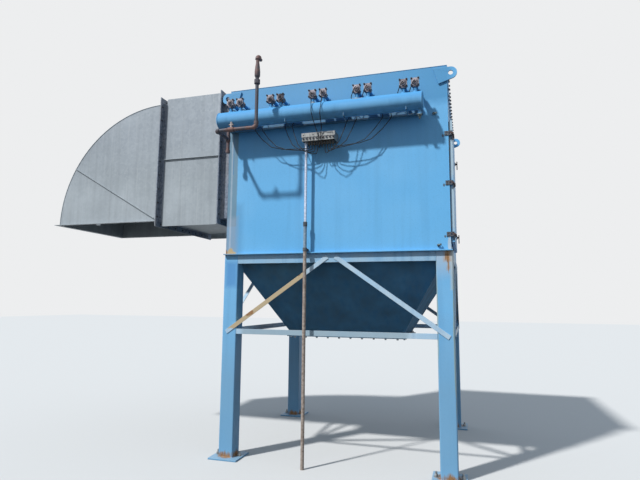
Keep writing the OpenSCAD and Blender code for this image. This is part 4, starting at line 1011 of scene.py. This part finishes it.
conduit_finish, tree, place, shader = new_material("galvanised_and_rusted_pipe")
spangle = add_node(tree, "TexNoise", {"Vector": place, "Scale": 1000 / 20, "Detail": 5}).outputs[0]
colour = laid_over(tree, "#A4AFC2", "#D9E2F2", spangle, 0.3, 0.7)
old_zinc = laid_over(tree, "#6C8496", "#93A6B4", spangle, 0.3, 0.7)
oxide = laid_over(tree, "#7E7066", "#B3A69B", spangle, 0.3, 0.7)
dark_iron = laid_over(tree, "#343940", "#666A6E", spangle, 0.3, 0.7)
below_joint = conduit_zone(tree, place, -0.1, joint_z)
below_clamp = conduit_zone(tree, place, -0.1, clamp_z)
colour = laid_over(tree, colour, old_zinc, below_joint)
colour = laid_over(tree, colour, oxide, below_clamp)
for middle_z, half in ((joint_z, COUPLING_HALF), (clamp_z, CLAMP_HALF)):
    fitting = conduit_zone(tree, place, middle_z - half, middle_z + half)
    colour = laid_over(tree, colour, dark_iron, fitting)
finish(tree, shader, colour, (below_joint, 0.4, 0.75), [(spangle, 1, 0.25)])
metal = add_node(tree, "MapRange", {"Value": below_joint, "To Min": 0.55, "To Max": 0.25})
tree.links.new(metal.outputs[0], shader.inputs["Metallic"])
dress("conduit", conduit_finish, 0)
bolts = bmesh.new()
conduit_x = (conduit_low.x + conduit_high.x) / 2
for up, side in FOUR_CORNERS:
    seat = (conduit_x + side * CLAMP_SIDE, housing_face_y - CLAMP_OUT,
            clamp_z + up * CLAMP_BOLT_UP)
    hex_bolt(bolts, seat, (side, 0, 0), CLAMP_BOLT)
make_piece("conduit_clamp_bolts", bolts, dark_bolts)

# Air pipe: black steel pipe, one inch, screwed together with malleable iron fittings. It
# was never painted, and is dark mill scale and brown rust in turns. Only the small vent
# valve on the run is plated, and that is a dull grey.
pipe_low, pipe_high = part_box("air_pipe")
PIPE_R = 0.0167
FITTING_R = 0.0227
VENT_IN = 0.158
RUN_UNDER_HEADER = 0.197
feed_x = pipe_low.x + FITTING_R
run_z = header_z - RUN_UNDER_HEADER
rusty_pipe, tree, place, shader = new_material("rusted_black_pipe")
grain = add_node(tree, "TexNoise", {"Vector": place, "Scale": 1000 / 6.67, "Detail": 8,
                                    "Roughness": 0.7}).outputs[0]
clouds = add_node(tree, "TexNoise", {"Vector": place, "Scale": 1000 / 111, "Detail": 4}).outputs[0]
dark = laid_over(tree, "#2A2D36", "#5E616B", grain, 0.25, 0.75)
brown = laid_over(tree, "#51393A", "#8D6F66", grain, 0.25, 0.75)
colour = laid_over(tree, dark, brown, clouds, 0.42, 0.62)
# the riser's middle has kept more of its mill scale
riser_middle = boxed(tree, place, (pipe_high.x - 0.06, pipe_low.y - 0.1, run_z + 0.08),
                     (pipe_high.x + 0.06, pipe_high.y + 0.1, run_z + 0.50), 30, 20)
colour = laid_over(tree, colour, dark, riser_middle, most=0.8)
vent_x = feed_x + VENT_IN
vent = boxed(tree, place, (vent_x - 0.03, pipe_low.y - 0.1, run_z + FITTING_R + 0.001),
             (vent_x + 0.03, pipe_low.y + 0.1, run_z + 0.1), 0.5)
plated = laid_over(tree, "#6E6462", "#ABA09B", grain, 0.3, 0.7)
colour = laid_over(tree, colour, plated, vent)
finish(tree, shader, colour, (clouds, 0.5, 0.85), [(grain, 1, 0.4)], metallic=0.35)
dress("air_pipe", rusty_pipe, 0)

# Cut threads show for a few turns beside each fitting. A real one has 11.5 turns to the
# inch, and these have a turn every 3 mm, so that they show.
THREAD_PITCH = 0.003
THREAD_TURNS = 5
THREAD_DEPTH = 0.0009
RISER_IN = 0.0297
RUN_OUT = 0.250
# each thread on the riser: how far it starts over the run, and whether it goes up or down
RISER_THREADS = ((0.062, 1), (0.433, -1), (0.476, 1))
TEE_HALF = 0.028
riser_x = pipe_high.x - RISER_IN
run_y = header_y - RUN_OUT
threads = bmesh.new()
thread_form = [(0, PIPE_R)]
for k in range(THREAD_TURNS):
    thread_form += [((k + 0.5) * THREAD_PITCH, PIPE_R + THREAD_DEPTH),
                    ((k + 1) * THREAD_PITCH, PIPE_R)]
for up, way in RISER_THREADS:
    turned(threads, (riser_x, run_y, run_z + up), (0, 0, way), thread_form, 20)
for side in (-1, 1):
    turned(threads, (vent_x + side * TEE_HALF, run_y, run_z), (side, 0, 0), thread_form, 20)
for side in (1, -1):
    turned(threads, (feed_x, header_y, run_z + side * TEE_HALF), (0, 0, side), thread_form, 20)
make_piece("pipe_threads", threads, rusty_pipe)

# Duct: galvanised sheet on angle iron frames that bolt together. The sheet is dull, with a
# faint spangle, dark and pale streaks left by rain, and painted shade towards its top. The
# frames have weathered to a blue grey.
# painted shade: the sheet grows darker towards the duct's top
TOP_SHADE_LOW = (-4, -2, 3.40)
TOP_SHADE_HIGH = (-1, 1, 4.5)
TOP_SHADE_FADE_MM = 600
zinc_sheet, tree, place, shader = new_material("galvanised_sheet")
spangle = add_node(tree, "TexVoronoi", {"Vector": place, "Scale": 1000 / 26.3}, feature="F1")
crystal = add_node(tree, "SeparateColor", {"Color": spangle.outputs["Color"]}).outputs
clouds = add_node(tree, "TexNoise", {"Vector": place, "Scale": 1000 / 625, "Detail": 5}).outputs[0]
washed = streaks(tree, place, 55, 1500)
drips = streaks(tree, place, 16, 900)
colour = laid_over(tree, "#8A9297", "#A1A9AE", clouds, 0.3, 0.7)
duct_top_shade = boxed(tree, place, TOP_SHADE_LOW, TOP_SHADE_HIGH, TOP_SHADE_FADE_MM)
colour = laid_over(tree, colour, "#7D858F", duct_top_shade, most=0.5)
colour = laid_over(tree, colour, "#BEC4C9", crystal[0], most=0.12)
colour = laid_over(tree, colour, "#7C8387", washed, 0.48, 0.75, 0.35)
colour = laid_over(tree, colour, "#BFC3C3", drips, 0.58, 0.72, 0.18)
colour = laid_over(tree, colour, "#C2C6C9", worn_edges(tree, place), most=0.5)
waves = add_node(tree, "TexNoise", {"Vector": place, "Scale": 1000 / 333, "Detail": 1}).outputs[0]
finish(tree, shader, colour, (crystal[1], 0.52, 0.68), [(waves, 20, 0.3), (clouds, 2, 0.1)],
       metallic=0.28)
for sheet in ("box_front_panels", "box_back_panel", "box_top_bottom_panels",
              "elbow_front_cheek", "elbow_back_cheek", "elbow_heel", "elbow_mouth_frame"):
    dress(sheet, zinc_sheet, 0)

# rolled angle iron has a rough mill skin, with runs of dirt and bare, paler edges
frame_steel, tree, place, shader = new_material("weathered_angle_iron")
grain = add_node(tree, "TexNoise", {"Vector": place, "Scale": 1000 / 22.2, "Detail": 6}).outputs[0]
runs = streaks(tree, place, 50, 500)
colour = laid_over(tree, "#566070", "#87909C", grain, 0.3, 0.7)
colour = laid_over(tree, colour, "#8D8A86", runs, 0.5, 0.7, 0.5)
colour = laid_over(tree, colour, "#A7ADB5", worn_edges(tree, place), most=0.6)
finish(tree, shader, colour, (runs, 0.45, 0.75), [(grain, 1, 0.25)], metallic=0.3)
for angle in ("duct_collar", "box_end_frames", "elbow_inlet_flange"):
    dress(angle, frame_steel, 0.8)

FRAME_BOLT = 0.013
FRAME_BOLT_TIP = 0.006
FRAME_BOLT_PITCH = 0.150
FRAME_BOLT_IN = 0.028
FRAME_T = 0.005
ring_low, ring_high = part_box("box_end_frames")
span = ring_high - ring_low
middle = (ring_high + ring_low) / 2
bolts = bmesh.new()
for joint_x in (ring_low.x, ring_high.x):
    for at, up in ring_places(span.y / 2 - FRAME_BOLT_IN, span.z / 2 - FRAME_BOLT_IN,
                              FRAME_BOLT_PITCH):
        seat = Vector((joint_x, middle.y + at, middle.z + up))
        hex_bolt(bolts, seat + Vector((FRAME_T, 0, 0)), (1, 0, 0), FRAME_BOLT)
        hex_bolt(bolts, seat - Vector((FRAME_T, 0, 0)), (-1, 0, 0), FRAME_BOLT, FRAME_BOLT_TIP)
make_piece("duct_frame_bolts", bolts, dark_bolts)

# Rivets hold the sheets to the angle frames, every 222 mm, and the elbow's mouth frame to
# its sheets. Their domes are zinc plated and dark.
RIVET_DOME = [(0, 0.0055), (0.0015, 0.0050), (0.0028, 0.0034), (0.0034, 0.0012)]
RIVET_PITCH = 0.222
RIVET_FOOT_Z = 2.433
RIVET_IN = 0.11
MOUTH_RIVETS = 7
MOUTH_RIVET_IN = 0.10
MOUTH_RIVET_PITCH = 0.2
MOUTH_ANGLE_MIDDLE = 0.016
ANGLE_T = 0.005
ANGLE_MIDDLE = 0.020
SEAM_H = 0.016
back_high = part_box("box_back_panel")[1]
duct_low, duct_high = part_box("box_top_bottom_panels")
# the front cheek's seam stands out past the duct's face
duct_front_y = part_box("elbow_front_cheek")[0].y + SEAM_H
rivets = bmesh.new()
rows = [RIVET_FOOT_Z + k * RIVET_PITCH for k in range(6)]
columns = [duct_front_y + RIVET_IN + k * RIVET_PITCH for k in range(5)]
for x in (ring_low.x + ANGLE_MIDDLE, ring_high.x - ANGLE_MIDDLE):
    for z in rows:
        turned(rivets, (x, duct_front_y - ANGLE_T, z), (0, -1, 0), RIVET_DOME, 12)
        turned(rivets, (x, back_high.y + ANGLE_T, z), (0, 1, 0), RIVET_DOME, 12)
    for y in columns:
        turned(rivets, (x, y, duct_high.z + ANGLE_T), (0, 0, 1), RIVET_DOME, 12)
        turned(rivets, (x, y, duct_low.z - ANGLE_T), (0, 0, -1), RIVET_DOME, 12)
mouth_low, mouth_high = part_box("elbow_mouth_frame")
for k in range(MOUTH_RIVETS):
    x = mouth_low.x + MOUTH_RIVET_IN + k * MOUTH_RIVET_PITCH
    for y in (mouth_low.y + MOUTH_ANGLE_MIDDLE, mouth_high.y - MOUTH_ANGLE_MIDDLE):
        turned(rivets, (x, y, mouth_low.z), (0, 0, -1), RIVET_DOME, 12)
make_piece("sheet_rivets", rivets, dark_bolts)

# The elbow's cheeks are locked to the curved heel by a folded edge, hammered over. A tab of
# sheet has come loose and hangs below the mouth.
EDGE_R = 0.0035
ARC_STEPS = 60
elbow_low, elbow_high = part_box("elbow_front_cheek")
throat = Vector((elbow_high.x, 0, elbow_low.z))
outer_r = elbow_high.z - elbow_low.z - EDGE_R
folds = bmesh.new()
for y in (duct_front_y - EDGE_R * 0.3, back_high.y + EDGE_R * 0.3):
    arc = []
    for k in range(ARC_STEPS + 1):
        angle = math.radians(90 + 90 * k / ARC_STEPS)
        arc.append((throat.x + outer_r * math.cos(angle), y, throat.z + outer_r * math.sin(angle)))
    swept(folds, arc, [EDGE_R * (1 + 0.1 * (-1) ** k) for k in range(ARC_STEPS + 1)], 8)
make_piece("elbow_edge_folds", folds, zinc_sheet)

TAB_X = -2.736
TAB_W = 0.055
TAB_T = 0.0015
tab = bmesh.new()
# the tab's bend from the mouth down: how far it comes in, and how far down
curl = [(0.002, -0.0005), (0.003, -0.008), (0.006, -0.016), (0.012, -0.024)]
front = [[tab.verts.new((TAB_X + side * TAB_W / 2, mouth_low.y + out, mouth_low.z + down))
          for side in (-1, 1)] for out, down in curl]
back = [[tab.verts.new((TAB_X + side * TAB_W / 2, mouth_low.y + out + TAB_T, mouth_low.z + down))
         for side in (-1, 1)] for out, down in curl]
for sheet, flip in ((front, False), (back, True)):
    for above, under in zip(sheet, sheet[1:]):
        corner = (above[0], under[0], under[1], above[1])
        tab.faces.new(corner[::-1] if flip else corner)
for i in range(len(curl) - 1):
    for side in (0, 1):
        edge = (front[i][side], back[i][side], back[i + 1][side], front[i + 1][side])
        tab.faces.new(edge if side == 0 else edge[::-1])
tab.faces.new((front[0][0], front[0][1], back[0][1], back[0][0]))
tab.faces.new((front[-1][1], front[-1][0], back[-1][0], back[-1][1]))
bmesh.ops.recalc_face_normals(tab, faces=tab.faces)
make_piece("loose_tab", tab, zinc_sheet)
